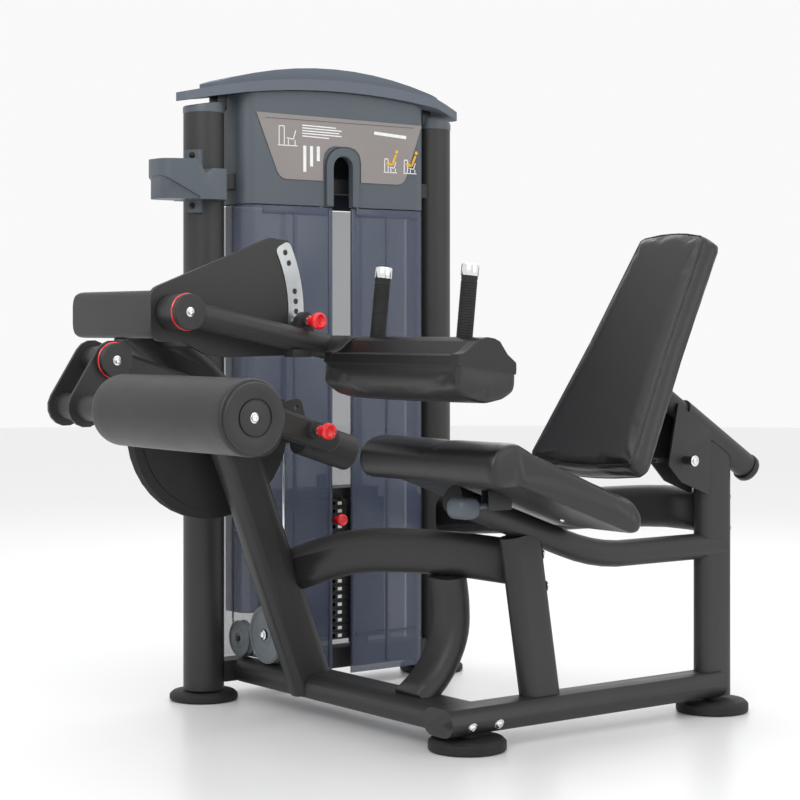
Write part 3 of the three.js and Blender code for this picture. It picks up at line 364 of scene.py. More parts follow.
def skin_rings(bm, rings, closed=False, cap_ends=True):
    """Joins equal rings of points into a skin."""
    made = [[bm.verts.new(point) for point in ring] for ring in rings]
    count = len(made[0])
    pairs = list(zip(made, made[1:]))
    if closed:
        pairs.append((made[-1], made[0]))
    for first, second in pairs:
        for index in range(count):
            after = (index + 1) % count
            bm.faces.new((first[index], first[after], second[after], second[index]))
    if cap_ends and not closed:
        bm.faces.new(list(reversed(made[0])))
        bm.faces.new(made[-1])


def lathe(bm, profile, start, direction, sides=48):
    """Turns (radius, height) pairs round an axis; a zero radius closes the end."""
    across, up = ring_frame(Vector(direction), Z_AXIS if abs(Vector(direction).z) < 0.9 else X_AXIS)
    along = Vector(direction).normalized()
    rings = []
    for radius, height in profile:
        centre = Vector(start) + along * height
        ring = []
        for side in range(sides):
            angle = 2 * math.pi * side / sides
            ring.append(centre + (across * math.cos(angle) + up * math.sin(angle)) * max(radius, 1e-5))
        rings.append(ring)
    skin_rings(bm, rings)


def tube_along(bm, points, radius, sides=12, closed=False):
    """A round tube along points."""
    rings = []
    hint = Vector((0.3, 0.2, 1)).normalized()
    count = len(points)
    for index, point in enumerate(points):
        before = points[index - 1] if index or closed else point
        after = points[(index + 1) % count] if index < count - 1 or closed else point
        along = (after - before).normalized()
        across, up = ring_frame(along, hint)
        hint = across
        ring = []
        for side in range(sides):
            angle = 2 * math.pi * side / sides
            ring.append(point + (across * math.cos(angle) + up * math.sin(angle)) * radius)
        rings.append(ring)
    skin_rings(bm, rings, closed=closed)


def rounded_box(bm, low, high, radius, segments=3):
    """A box with rounded edges between two corners."""
    made = bmesh.ops.create_cube(bm, size=1.0)["verts"]
    size = Vector(high) - Vector(low)
    centre = (Vector(high) + Vector(low)) / 2
    bmesh.ops.transform(bm, matrix=Matrix.Translation(centre) @ Matrix.Diagonal((*size, 1)), verts=made)
    edges = list({edge for vert in made for edge in vert.link_edges})
    bmesh.ops.bevel(bm, geom=edges, offset=radius, segments=segments, profile=0.5, affect="EDGES")


# ---------------------------------------------------------------- CAD nodes, with finer surfaces


def refined(node, look, bevel=0.0015, segments=2):
    """A CAD node's own shape with rounded edges, smooth curved faces and a finish."""
    bm = bmesh.new()
    bm.from_mesh(frame["nodes"][node].data)
    bmesh.ops.remove_doubles(bm, verts=bm.verts, dist=2e-5)
    bmesh.ops.dissolve_limit(bm, angle_limit=math.radians(1.0), verts=bm.verts, edges=bm.edges)
    piece = finish_piece(node + "_shown", bm, look, BODY_OF[node], replaces=(node,))
    if bevel:
        soften(piece, bevel, segments)
    return piece


REFINED = {
    "coat": {
        "tower_column_front": 0.0,
        "tower_column_rear": 0.0,
        "tower_base_beam": 0.003,
        "tower_top_beam": 0.001,
        "base_pulley_bracket": 0.001,
        "base_side_tube": 0.0,
        "base_cross_tube": 0.0,
        "front_post": 0.0,
        "rear_post": 0.0,
        "seat_rail": 0.0,
        "arch_tube": 0.0,
        "brace_tube": 0.0,
        "rear_cross_tube": 0.0,
        "upright": 0.0,
        "pivot_housing": 0.002,
        "sector_plate": 0.0015,
        "guide_tube": 0.0012,
        "lever_arm": 0.002,
        "lever_counterweight": 0.003,
        "roller_link": 0.0015,
        "thigh_arm": 0.0015,
        "back_lock_lever": 0.0015,
        "lever_shaft": 0.001,
        "back_slide": 0.002,
    },
    # The cam disc wears the cam's painted-shade look.
    "cam": {"cam_disc": 0.002},
    "cover": {"upper_housing": 0.002, "slot_bezel": 0.003, "cup_holder": 0.003, "seat_lever": 0.003},
    "panel": {"shroud_front": 0.0015, "shroud_rear": 0.0015},
    "rear_panel": {"shroud_back": 0.0015},
    "card": {"placard": 0.0004},
    "steel": {
        "guide_rod_front": 0.001,
        "guide_rod_rear": 0.001,
        "drive_cable": 0.0,
    },
    "brushed": {"range_strip": 0.0005},
    "iron": {"resting_plates": 0.0006, "selected_plates": 0.0006, "head_plate": 0.001},
    "nylon": {
        "base_pulley": 0.0015,
        "tower_pulley": 0.001,
        "top_pulley_front": 0.001,
        "top_pulley_rear": 0.001,
    },
    "rubber": {"foot_corner": 0.002, "foot_rear": 0.002, "foot_tower_front": 0.002, "foot_tower_rear": 0.002},
}


def build_refined():
    for look, nodes in REFINED.items():
        for node, bevel in nodes.items():
            refined(node, look, bevel)


def finish_stack_cable():
    """The cable above the stack shortens as the stack rises, so the CAD node itself is shown."""
    cable = frame["nodes"]["stack_cable"]
    cable.data.materials.clear()
    cable.data.materials.append(LOOKS["steel"])


# ---------------------------------------------------------------- fasteners


def button_bolt(bm, place, direction, radius=0.0075, proud=0.004):
    """A washer and a low domed head with a hexagonal socket, standing on a surface."""
    direction = Vector(direction).normalized()
    place = Vector(place) - direction * 0.0006
    washer = [(0, 0), (radius * 1.45, 0), (radius * 1.45, 0.0014), (radius * 1.35, 0.0018), (0, 0.0018)]
    lathe(bm, washer, place, direction, 28)
    head = [(0, 0.0015), (radius, 0.0015), (radius, 0.0024)]
    for step in range(1, 6):
        angle = math.radians(15 * step)
        head.append((radius * (0.42 + 0.58 * math.cos(angle)), 0.0024 + proud * math.sin(angle)))
    rim = radius * 0.44
    head += [(rim, 0.0024 + proud), (rim * 0.95, 0.0024 + proud * 0.35), (0, 0.0024 + proud * 0.3)]
    lathe(bm, head, place, direction, 24)


def hex_nut(bm, place, direction, radius, height):
    direction = Vector(direction).normalized()
    profile = [
        (0, 0),
        (radius * 0.9, 0),
        (radius, height * 0.12),
        (radius, height * 0.88),
        (radius * 0.9, height),
        (0, height),
    ]
    lathe(bm, profile, place, direction, 6)


def bolt_group(name, body, places, direction, radius=0.0075):
    bm = bmesh.new()
    for place in places:
        button_bolt(bm, place, direction, radius)
    finish_piece(name, bm, "steel", body, smooth=32)


def build_frame_bolts():
    """Bolts through the frame's joints."""
    side_low, side_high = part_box("base_side_tube")
    side_z = side_low.z + 0.32 * (side_high.z - side_low.z)
    side_x = side_high.x - 0.0035
    starts = [Vector((side_x, side_low.y + along, side_z)) for along in (0.055, 0.128)]
    bolt_group("side_tube_bolts", "base", starts, (1, 0, -0.45), 0.0085)

    post_low, post_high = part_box("front_post")
    lean = (post_high.y - post_low.y - 0.1) / (post_high.z - post_low.z)
    middle_x = (post_low.x + post_high.x) / 2
    places = []
    for drop in (0.045, 0.115):
        place = Vector((middle_x + 0.008, post_low.y + 0.099 + lean * drop, post_high.z - drop))
        places.append(place)
    bolt_group("front_post_bolts", "base", places, (0.32, 1, 0.15), 0.0085)

    rear_low, rear_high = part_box("rear_post")
    middle_x = (rear_low.x + rear_high.x) / 2
    places = [Vector((middle_x, rear_high.y, rear_high.z - drop)) for drop in (0.131, 0.204)]
    bolt_group("rear_post_bolts", "base", places, (0, 1, 0), 0.0085)


# ---------------------------------------------------------------- tower details


def build_column_caps():
    """A grey cap on each column, cut on a slant that rises towards the tower."""
    for node, inward in (("tower_column_front", 1), ("tower_column_rear", -1)):
        low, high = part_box(node)
        centre = (low + high) / 2
        radius = (high.x - low.x) / 2
        bm = bmesh.new()
        rings = []
        levels = [(1.0, -0.004, 0), (1.022, -0.003, 0), (1.022, 0.008, 0.5)]
        levels += [(1.0, 0.011, 1), (0.93, 0.0125, 1)]
        for share, lift, slant in levels:
            ring = []
            for side in range(64):
                angle = 2 * math.pi * side / 64
                x = radius * share * math.cos(angle)
                y = radius * share * math.sin(angle)
                rise = slant * (0.008 + 0.008 * inward * y / radius)
                ring.append(Vector((centre.x + x, centre.y + y, high.z + lift + rise)))
            rings.append(ring)
        skin_rings(bm, rings)
        finish_piece(node + "_cap", bm, "cover", "base", smooth=30)


def build_cover_brackets():
    """Short brackets that carry the top cover beside each column."""
    for node, inward in (("tower_column_front", 1), ("tower_column_rear", -1)):
        low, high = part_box(node)
        centre = (low + high) / 2
        bm = bmesh.new()
        y = centre.y + inward * 0.036
        corner = (centre.x - 0.012, y - 0.014, high.z + 0.005)
        rounded_box(bm, corner, (centre.x + 0.026, y + 0.014, high.z + 0.046), 0.002)
        finish_piece(node + "_bracket", bm, "cap", "base")


def vertical_bar(bm, x, y, z0, z1, half_width, proud):
    """A raised rib with a rounded front, up a shroud's face."""
    rings = []
    for z, share in ((z0, 0.6), (z0 + 0.004, 1.0), (z1 - 0.004, 1.0), (z1, 0.6)):
        ring = []
        for step in range(9):
            angle = math.pi * step / 8
            ring.append(Vector((x + proud * share * math.sin(angle), y - half_width * math.cos(angle), z)))
        rings.append(ring)
    skin_rings(bm, rings)


def build_shroud_ribs():
    """Ribs and a top lip moulded into the two front shrouds."""
    for node, edge_sign in (("shroud_front", 1), ("shroud_rear", -1)):
        low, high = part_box(node)
        slot_y = high.y if edge_sign > 0 else low.y
        bm = bmesh.new()
        for inset, half_width, proud in ((0.006, 0.006, 0.006), (0.112, 0.005, 0.004)):
            y = slot_y - edge_sign * inset
            vertical_bar(bm, high.x - 0.0004, y, low.z + 0.02, high.z - 0.004, half_width, proud)
        y0, y1 = sorted((slot_y - edge_sign * 0.014, slot_y - edge_sign * 0.205))
        rounded_box(bm, (high.x - 0.001, y0, high.z - 0.02), (high.x + 0.0025, y1, high.z - 0.0005), 0.001)
        rounded_box(bm, (high.x - 0.001, y0, low.z + 0.09), (high.x + 0.0018, y1, low.z + 0.097), 0.0008)
        finish_piece(node + "_ribs", bm, "panel", "base")


def build_stack_buffers():
    """Rubber buffers under the stack."""
    low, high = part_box("resting_plates")
    bm = bmesh.new()
    for y in (low.y + 0.04, high.y - 0.04):
        lathe(bm, [(0, 0), (0.022, 0), (0.025, 0.004), (0.025, 0.02), (0.022, 0.024), (0, 0.024)],
              (middle_of("resting_plates").x, y, low.z - 0.0255), Z_AXIS, 32)
    finish_piece("stack_buffers", bm, "rubber", "base")


def build_number_marks():
    """A plain tick beside each plate's hole."""
    for node, body in (("resting_plates", "base"), ("selected_plates", "carriage")):
        low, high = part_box(node)
        pitch = 0.0194
        count = round((high.z - low.z) / pitch)
        middle = (low + high) / 2
        bm = bmesh.new()
        for plate in range(count):
            z = low.z + (plate + 0.5) * pitch - 0.0008
            corner = (high.x - 0.0004, middle.y + 0.012, z - 0.004)
            rounded_box(bm, corner, (high.x + 0.0003, middle.y + 0.024, z + 0.004), 0.0002, 1)
        finish_piece(node + "_marks", bm, "white_ink", body)


def flat_shape(bm, points, x0, x1):
    """A thin plate on the placard: (y, z) points, from x0 to x1."""
    skin_rings(bm, [[Vector((x, y, z)) for y, z in points] for x in (x0, x1)])


def bar_points(y0, z0, y1, z1, width):
    along = Vector((y1 - y0, z1 - z0)).normalized() * width / 2
    side = Vector((-along.y, along.x))
    start = Vector((y0, z0))
    end = Vector((y1, z1))
    return [tuple(start + side), tuple(start - side), tuple(end - side), tuple(end + side)]


def dot_points(y, z, radius, sides=20):
    turns = [2 * math.pi * side / sides for side in range(sides)]
    return [(y + radius * math.cos(turn), z + radius * math.sin(turn)) for turn in turns]


def machine_sign(bm, y, z, size):
    """A plain line sketch of a tower, a seat and a foot bar."""
    strokes = [
        (0.0, 0.0, 0.0, 1.3),
        (0.0, 1.3, 0.42, 1.3),
        (0.42, 1.3, 0.42, 0.0),
        (-0.1, 0.0, 1.5, 0.0),
        (0.75, 0.0, 0.75, 0.5),
        (0.62, 0.52, 1.16, 0.44),
        (1.16, 0.46, 1.36, 1.05),
        (1.3, 0.0, 1.3, 0.4),
    ]
    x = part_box("placard")[1].x
    for y0, z0, y1, z1 in strokes:
        bar = bar_points(y + y0 * size, z + z0 * size, y + y1 * size, z + z1 * size, 0.0022)
        flat_shape(bm, bar, x - 0.0003, x + 0.0004)


def build_placard_marks():
    """Generic marks in place of the placard's print: plain bars, sketches and dots."""
    low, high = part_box("placard")
    x0, x1 = high.x - 0.0003, high.x + 0.0004
    width = high.y - low.y
    bm = bmesh.new()
    machine_sign(bm, low.y + 0.13 * width, low.z + 0.082, 0.036)
    for row in range(5):
        length = (0.2, 0.235, 0.22, 0.235, 0.16)[row] * width
        z = low.z + 0.134 - 0.0066 * row
        start = low.y + 0.265 * width
        flat_shape(bm, bar_points(start, z, start + length, z - 0.002, 0.0028), x0, x1)
    for offset in (0.0, 0.062):
        start = low.y + 0.765 * width + offset
        machine_sign(bm, start, low.z + 0.03, 0.026)
    y0, y1 = low.y + 0.7 * width, low.y + 0.9 * width
    flat_shape(bm, bar_points(y0, low.z + 0.127, y1, low.z + 0.121, 0.008), x0, x1)
    for step in range(3):
        y = low.y + (0.28 + 0.04 * step) * width
        flat_shape(bm, bar_points(y, low.z + 0.084, y, low.z + 0.02 + 0.014 * step, 0.009), x0, x1)
    finish_piece("placard_white_marks", bm, "white_ink", "base")

    bm = bmesh.new()
    for offset in (0.0, 0.062):
        y = low.y + 0.765 * width + offset + 0.024
        z = low.z + 0.05
        flat_shape(bm, bar_points(y, z, y + 0.012, z + 0.026, 0.006), x0, x1 + 0.0002)
        flat_shape(bm, bar_points(y, z, y - 0.018, z + 0.003, 0.006), x0, x1 + 0.0002)
        flat_shape(bm, dot_points(y + 0.014, z + 0.033, 0.0045), x0, x1 + 0.0002)
    finish_piece("placard_yellow_marks", bm, "yellow_ink", "base")

    bm = bmesh.new()
    z = high.z - 0.0065 - 0.006
    flat_shape(bm, bar_points(low.y + 0.05 * width, z, low.y + 0.95 * width, z, 0.0014), x0, x1)
    finish_piece("placard_dark_marks", bm, "dark_ink", "base")


def build_holder_screws():
    """Screws through the cup holder's two tabs."""
    low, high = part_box("cup_holder")
    column = middle_of("tower_column_front")
    outward = Vector((0.5, -0.866, 0))
    reach = 0.0585
    places = []
    for z in (low.z + 0.016, high.z - 0.013):
        places.append(Vector((column.x, column.y, z)) + outward * reach)
    bm = bmesh.new()
    for place in places:
        button_bolt(bm, place, outward, 0.0055)
    finish_piece("cup_holder_screws", bm, "cap", "base", smooth=32)


# ---------------------------------------------------------------- pivots, knobs and pulleys


def pivot_cap(name, body, centre, face_x, radius):
    """A red ring, a black cap and a chrome bolt on the end of a pivot, facing +X."""
    bm = bmesh.new()
    ring = [(0, 0), (radius * 1.01, 0), (radius * 1.045, 0.0012)]
    ring += [(radius * 1.045, 0.0026), (radius * 1.01, 0.0038), (0, 0.0038)]
    lathe(bm, ring, (face_x - 0.0155, centre.y, centre.z), X_AXIS, 64)
    finish_piece(name + "_ring", bm, "red", body)
    bm = bmesh.new()
    cap = [(0, 0), (radius, 0), (radius, 0.0105), (radius * 0.985, 0.0125)]
    cap += [(radius * 0.95, 0.0135), (radius * 0.3, 0.0142), (radius * 0.27, 0.0118), (0, 0.0116)]
    lathe(bm, cap, (face_x - 0.012, centre.y, centre.z), X_AXIS, 64)
    finish_piece(name + "_cap", bm, "coat", body, smooth=30)
    bm = bmesh.new()
    button_bolt(bm, (face_x - 0.0005, centre.y, centre.z), X_AXIS, 0.0072, 0.0035)
    finish_piece(name + "_bolt", bm, "steel", body, smooth=32)


def build_pivot_caps():
    thigh_axis = axis_point("thigh_swing")
    pivot_cap("thigh_hub", "thigh", thigh_axis, thigh_axis.x + 0.03, 0.0378)
    link_axis = axis_point("link_swing")
    pivot_cap("link_hub", "link", link_axis, link_axis.x + 0.066, 0.0368)


def pull_knob(node, body, nut_radius=0.0125):
    """A red pull knob with a waist and a dished face, and its chrome nut."""
    low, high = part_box(node)
    centre = (low + high) / 2
    radius = (high.z - low.z) / 2
    length = 0.037 * radius / 0.019
    start = Vector((high.x - length + 0.004, centre.y, centre.z))
    bm = bmesh.new()
    profile = [(0, 0), (radius * 0.62, 0), (radius * 0.64, length * 0.05), (radius * 0.56, length * 0.3)]
    profile += [(radius * 0.6, length * 0.42), (radius * 0.86, length * 0.56), (radius * 0.98, length * 0.68)]
    profile += [(radius, length * 0.8), (radius * 0.95, length * 0.93), (radius * 0.84, length * 0.99)]
    profile += [(radius * 0.68, length), (radius * 0.62, length * 0.955)]
    profile += [(radius * 0.5, length * 0.94), (0, length * 0.935)]
    lathe(bm, profile, start, X_AXIS, 56)
    finish_piece(node + "_knob", bm, "red", body, smooth=50, replaces=(node,))
    bm = bmesh.new()
    hex_nut(bm, start - X_AXIS * 0.0095, X_AXIS, nut_radius, 0.01)
    reach = start.x - low.x
    rod = [(0, 0), (0.0048, 0), (0.0048, reach), (0, reach)]
    lathe(bm, rod, (low.x, centre.y, centre.z), X_AXIS, 20)
    finish_piece(node + "_shank", bm, "steel", body, smooth=25)


def build_knobs():
    pull_knob("start_pin", "start_plunger")
    pull_knob("thigh_pin", "thigh_plunger")
    pull_knob("selector_pin", "pin", 0.0088)


def build_lanyard():
    """The coiled lead that keeps the selector pin with the stack."""
    low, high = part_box("pin_lanyard")
    start = Vector((low.x + 0.004, low.y + 0.002, high.z - 0.004))
    end = Vector((high.x - 0.005, high.y - 0.004, low.z + 0.003))
    bulge = Vector((0.012, 0.004, 0.004))
    turns = 11
    points = []
    for step in range(turns * 14 + 1):
        share = step / (turns * 14)
        middle = start.lerp(end, share) + bulge * math.sin(math.pi * share)
        angle = 2 * math.pi * turns * share
        coil = Vector((math.cos(angle), math.sin(angle), 0)) * 0.0042 * min(1, 8 * share, 8 * (1 - share))
        points.append(middle + coil)
    bm = bmesh.new()
    tube_along(bm, points, 0.0012, 8)
    finish_piece("selector_lanyard", bm, "rubber", "carriage", replaces=("pin_lanyard",))


def build_cam_face():
    """The cam's inner face, set in from its rim, with its hub."""
    axis = axis_point("cam_turn")
    low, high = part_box("cam_disc")
    radius = (high.y - low.y) / 2
    crown = high.z
    bm = bmesh.new()
    points = []
    inner = radius * 0.885
    top = crown - 0.016 - axis.z
    first = math.asin(top / inner)
    sweep_angle = 2 * math.pi - (math.pi - 2 * first)
    for step in range(73):
        angle = math.pi - first + sweep_angle * step / 72
        points.append((axis.y + inner * math.cos(angle), axis.z + inner * math.sin(angle)))
    flat_shape(bm, points, high.x - 0.001, high.x + 0.0035)
    boss = [(0, 0), (0.046, 0), (0.046, 0.014), (0.043, 0.017), (0, 0.017)]
    lathe(bm, boss, (high.x, axis.y, axis.z), X_AXIS, 48)
    # The cam face wears the cam's painted-shade look too.
    finish_piece("cam_face", bm, "cam", "cam")


def build_guide_ends():
    """The plug in the guide tube's lower end."""
    tube_end = guide_end()
    bm = bmesh.new()
    plug = [(0, 0), (0.0325, 0), (0.0335, 0.002), (0.0335, 0.012)]
    plug += [(0.031, 0.0165), (0.024, 0.019), (0, 0.0195)]
    lathe(bm, plug, tube_end - GUIDE_AXIS * 0.0125, GUIDE_AXIS, 56)
    finish_piece("guide_tube_plug", bm, "cap", "base")


def guide_end():
    """The middle of the guide tube's lower end, from its farthest points."""
    mesh = frame["nodes"]["guide_tube"].data
    reach = max(vert.co.dot(GUIDE_AXIS) for vert in mesh.vertices)
    points = [vert.co for vert in mesh.vertices if vert.co.dot(GUIDE_AXIS) > reach - 0.0005]
    return sum(points, Vector()) / len(points)


def build_gusset_bolts():
    """The chrome bolt on the lock lever's boss."""
    axis = axis_point("back_lock_turn")
    _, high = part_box("guide_tube")
    bolt_group("gusset_bolt", "base", [Vector((high.x, axis.y, axis.z))], X_AXIS, 0.0085)


def build_grips():
    """Rubber grips with turned rings, under chrome end caps."""
    for node in ("grip_far", "grip_near"):
        low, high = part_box(node)
        radius = (high.x - low.x) / 2
        x = (low.x + high.x) / 2
        lean = Vector((0, high.y - low.y - 2 * radius, high.z - low.z)).normalized()
        buried = 0.014
        start = Vector((x, low.y + radius, low.z)) - lean * buried
        length = (high.z - low.z) / lean.z + buried
        bm = bmesh.new()
        profile = [(0, 0), (radius, 0)]
        ribs = 22
        for rib in range(ribs):
            height = 0.006 + (length - 0.04) * rib / ribs
            profile += [(radius, height), (radius, height + 0.0036), (radius - 0.0009, height + 0.0042)]
            profile.append((radius - 0.0009, height + 0.0049))
        profile += [(radius, length - 0.03), (radius, length - 0.024), (0, length - 0.024)]
        lathe(bm, profile, start, lean, 48)
        finish_piece(node + "_sleeve", bm, "rubber", "thigh", smooth=50, replaces=(node,))
        bm = bmesh.new()
        cap = [(0, 0), (radius + 0.001, 0), (radius + 0.0015, 0.0015), (radius + 0.0015, 0.021)]
        cap += [(radius + 0.0003, 0.0232), (radius - 0.0015, 0.024), (0, 0.0243)]
        lathe(bm, cap, start + lean * (length - 0.0245), lean, 48)
        finish_piece(node + "_cap", bm, "steel", "thigh")


def build_pulley_faces():
    """Hub rings on the two low pulleys, and a spindle bolt on the base pulley."""
    for node, body, joint, radius in (
        ("base_pulley", "pulley_base", "base_pulley_turn", 0.066),
        ("tower_pulley", "pulley_tower", "tower_pulley_turn", 0.042),
    ):
        low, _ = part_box(node)
        axis = axis_point(joint)
        bm = bmesh.new()
        rim = [(radius * 0.98, 0), (radius * 0.98, 0.0016), (radius * 0.93, 0.0022)]
        rim += [(radius * 0.88, 0.0016), (radius * 0.88, 0)]
        hub = [(0.013, 0), (0.013, 0.0024), (0.02, 0.0024), (0.022, 0.001), (0.022, 0)]
        for profile in (rim, hub):
            rings = []
            for ring_radius, height in profile:
                centre = Vector((axis.x, low.y - height, axis.z))
                turns = [2 * math.pi * side / 64 for side in range(64)]
                rings.append([centre + Vector((math.cos(t), 0, math.sin(t))) * ring_radius for t in turns])
            skin_rings(bm, rings, closed=True)
        finish_piece(node + "_face", bm, "nylon", body)
    low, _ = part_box("base_pulley_bracket")
    axis = axis_point("base_pulley_turn")
    bolt_group("base_pulley_bolt", "base", [Vector((axis.x, low.y, axis.z))], -Y_AXIS, 0.0085)


# ---------------------------------------------------------------- soft goods


def voxel_copy(source, name, voxel, shrink):
    """A copy of a shape as an even mesh, a little inside the original."""
    mesh = source.data.copy()
    piece = bpy.data.objects.new(name, mesh)
    bpy.context.scene.collection.objects.link(piece)
    bpy.context.view_layer.objects.active = piece
    add_modifier(piece, "REMESH", mode="VOXEL", voxel_size=voxel)
    apply_modifiers(piece)
    normals = [vert.normal.copy() for vert in piece.data.vertices]
    for vert, normal in zip(piece.data.vertices, normals):
        vert.co -= normal * shrink
    return piece


def apply_modifiers(piece):
    """Replaces a piece's mesh with the mesh its modifiers make."""
    graph = bpy.context.evaluated_depsgraph_get()
    made = bpy.data.meshes.new_from_object(piece.evaluated_get(graph))
    piece.modifiers.clear()
    piece.data = made


def inflate(piece, cap, held):
    """Puffs a closed skin out under gentle pressure; held says which points stay put."""
    scene = bpy.context.scene
    start = [vert.co.copy() for vert in piece.data.vertices]
    group = piece.vertex_groups.new(name="held")
    group.add([index for index, co in enumerate(start) if held(co)], 1.0, "REPLACE")
    cloth = piece.modifiers.new("cloth", "CLOTH")
    cloth.settings.quality = 5
    cloth.settings.mass = 0.3
    cloth.settings.use_pressure = True
    cloth.settings.uniform_pressure_force = 4.0
    cloth.settings.tension_stiffness = 25
    cloth.settings.compression_stiffness = 25
    cloth.settings.bending_stiffness = 6
    cloth.settings.effector_weights.gravity = 0
    cloth.settings.vertex_group_mass = "held"
    for number in range(1, 21):
        scene.frame_set(number)
    apply_modifiers(piece)
    scene.frame_set(1)
    for vert, origin in zip(piece.data.vertices, start):
        move = vert.co - origin
        if move.length > cap:
            vert.co = origin + move.normalized() * cap


def relax(piece, rounds):
    add_modifier(piece, "SMOOTH", iterations=rounds, factor=0.5)
    apply_modifiers(piece)


def cushion(node, name, body, cap, shrink, held):
    """A padded piece in the space of its CAD solid: remeshed, inflated and smoothed."""
    piece = voxel_copy(frame["nodes"][node], name, 0.006, shrink)
    relax(piece, 3)
    inflate(piece, cap, held)
    relax(piece, 2)
    add_modifier(piece, "SUBSURF", levels=1, render_levels=1)
    apply_modifiers(piece)
    dress_cushion(piece, node, body)
    return piece


def dress_cushion(piece, node, body):
    """Covers a cushion in leatherette, sets it on its body and hides the CAD node it takes the place of."""
    piece.data.materials.clear()
    piece.data.materials.append(LOOKS["leather"])
    piece.data.shade_smooth()
    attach(piece, body)
    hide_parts(node)


def face_loop(node, out, depth, inset):
    """The edge of a padded board's front face, moved in and back, as points in order."""
    up = out.cross(X_AXIS)
    mesh = frame["nodes"][node].data
    front = max(vert.co.dot(out) for vert in mesh.vertices)
    face = [vert.co for vert in mesh.vertices if vert.co.dot(out) > front - 2e-4]
    flat = {(round(co.x, 5), round(co.dot(up), 5)) for co in face}
    middle = Vector((sum(x for x, _ in flat) / len(flat), sum(y for _, y in flat) / len(flat)))
    ring = sorted(flat, key=lambda point: math.atan2(point[1] - middle.y, point[0] - middle.x))
    points = []
    for x, along in ring:
        outward = (Vector((x, along)) - middle).normalized()
        edge = X_AXIS * (x - outward.x * inset) + up * (along - outward.y * inset)
        points.append(edge + out * (front - depth))
    return points


def build_back_pad():
    """The back rest: a tight cover with piping along the edge of its face, over a board."""
    out = Vector((0, -math.cos(BACK_LEAN), math.sin(BACK_LEAN)))
    mesh = frame["nodes"]["back_pad"].data
    rear = min(vert.co.dot(out) for vert in mesh.vertices)
    pad = cushion(
        "back_pad", "back_cushion", "back", 0.004, 0.0005,
        lambda co: co.dot(out) < rear + 0.02,
    )
    bm = bmesh.new()
    for depth, inset, radius in ((0.0035, -0.006, 0.0024), (0.053, -0.012, 0.0016)):
        loop = face_loop("back_pad", out, depth, inset)
        tube_along(bm, [pad.closest_point_on_mesh(point)[1] for point in loop], radius, 10, closed=True)
    finish_piece("back_piping", bm, "leather", "back", smooth=60)


def build_seat_pad():
    """The seat cushion: a rolled front, and a board under its slope that stays flat."""
    low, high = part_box("seat_pad")
    slope = math.tan(math.radians(20))

    def underneath(co):
        floor = low.z + 0.006 + slope * (high.y - 0.018 - co.y)
        return co.y > low.y + 0.09 and co.z < floor + 0.012

    cushion("seat_pad", "seat_cushion", "base", 0.005, 0.001, underneath)


def build_thigh_pad():
    """The thigh pad: a faceted cushion below and a moulded cover with raised ends above."""
    low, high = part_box("thigh_pad")
    bm = bmesh.new()
    bm.from_mesh(frame["nodes"]["thigh_pad"].data)
    bmesh.ops.remove_doubles(bm, verts=bm.verts, dist=2e-5)
    split = Vector((0, (low.y + high.y) / 2, low.z + 0.075))
    normal = Vector((0, 0.13, 1)).normalized()
    geometry = list(bm.verts) + list(bm.edges) + list(bm.faces)
    cut = bmesh.ops.bisect_plane(bm, geom=geometry, plane_co=split, plane_no=normal, clear_outer=True)
    edges = [item for item in cut["geom_cut"] if isinstance(item, bmesh.types.BMEdge)]
    bmesh.ops.contextual_create(bm, geom=edges)
    bmesh.ops.recalc_face_normals(bm, faces=bm.faces)
    mesh = bpy.data.meshes.new("thigh_cushion_shape")
    bm.to_mesh(mesh)
    bm.free()
    shape = bpy.data.objects.new("thigh_cushion_shape", mesh)
    piece = voxel_copy(shape, "thigh_cushion", 0.004, 0.0006)
    bpy.data.objects.remove(shape)
    relax(piece, 2)
    inflate(piece, 0.003, lambda co: (co - split).dot(normal) > -0.014)
    relax(piece, 1)
    add_modifier(piece, "SUBSURF", levels=1, render_levels=1)
    apply_modifiers(piece)
    dress_cushion(piece, "thigh_pad", "thigh")
    build_thigh_cover(low, high)


def cover_profile(low, high, ledge):
    """The thigh cover's (y, z) outline; the ledge variant has a step along its front."""
    y0, y1, z1 = low.y, high.y, high.z
    front = low.z + 0.077
    rear = low.z + 0.057
    points = [(y0 + 0.0035, front), (y1 - 0.002, rear)]
    points += [(y1 - 0.001, rear + 0.012), (y1 - 0.0015, rear + 0.024)]
    points += [(y1 - 0.012, rear + 0.032), (y1 - 0.024, rear + 0.041), (y1 - 0.034, rear + 0.054)]
    points += [(y1 - 0.044, z1 - 0.009), (y1 - 0.058, z1 - 0.003), (y1 - 0.075, z1 - 0.0005)]
    if ledge:
        points += [(y0 + 0.07, z1 - 0.003), (y0 + 0.058, z1 - 0.009), (y0 + 0.045, front + 0.0225)]
        points += [(y0 + 0.04, front + 0.0205), (y0 + 0.01, front + 0.0215), (y0 + 0.006, front + 0.0195)]
    else:
        points += [(y0 + 0.075, z1 - 0.001), (y0 + 0.06, z1 - 0.004), (y0 + 0.045, z1 - 0.014)]
        points += [(y0 + 0.032, z1 - 0.025), (y0 + 0.018, z1 - 0.032), (y0 + 0.0065, front + 0.023)]
    return points


def build_thigh_cover(low, high):
    """Two raised end cheeks and the ledged stretch between them."""
    cheek = 0.028
    spans = (
        ("thigh_cover_near", high.x - cheek, high.x, False),
        ("thigh_cover_far", low.x, low.x + cheek, False),
        ("thigh_cover_middle", low.x + cheek - 0.001, high.x - cheek + 0.001, True),
    )
    for name, x0, x1, ledge in spans:
        bm = bmesh.new()
        outline = cover_profile(low, high, ledge)
        skin_rings(bm, [[Vector((x, y, z)) for y, z in outline] for x in (x0, x1)])
        piece = finish_piece(name, bm, "cap", "thigh", smooth=24)
        soften(piece, 0.0022 if not ledge else 0.0008, 3, 24)


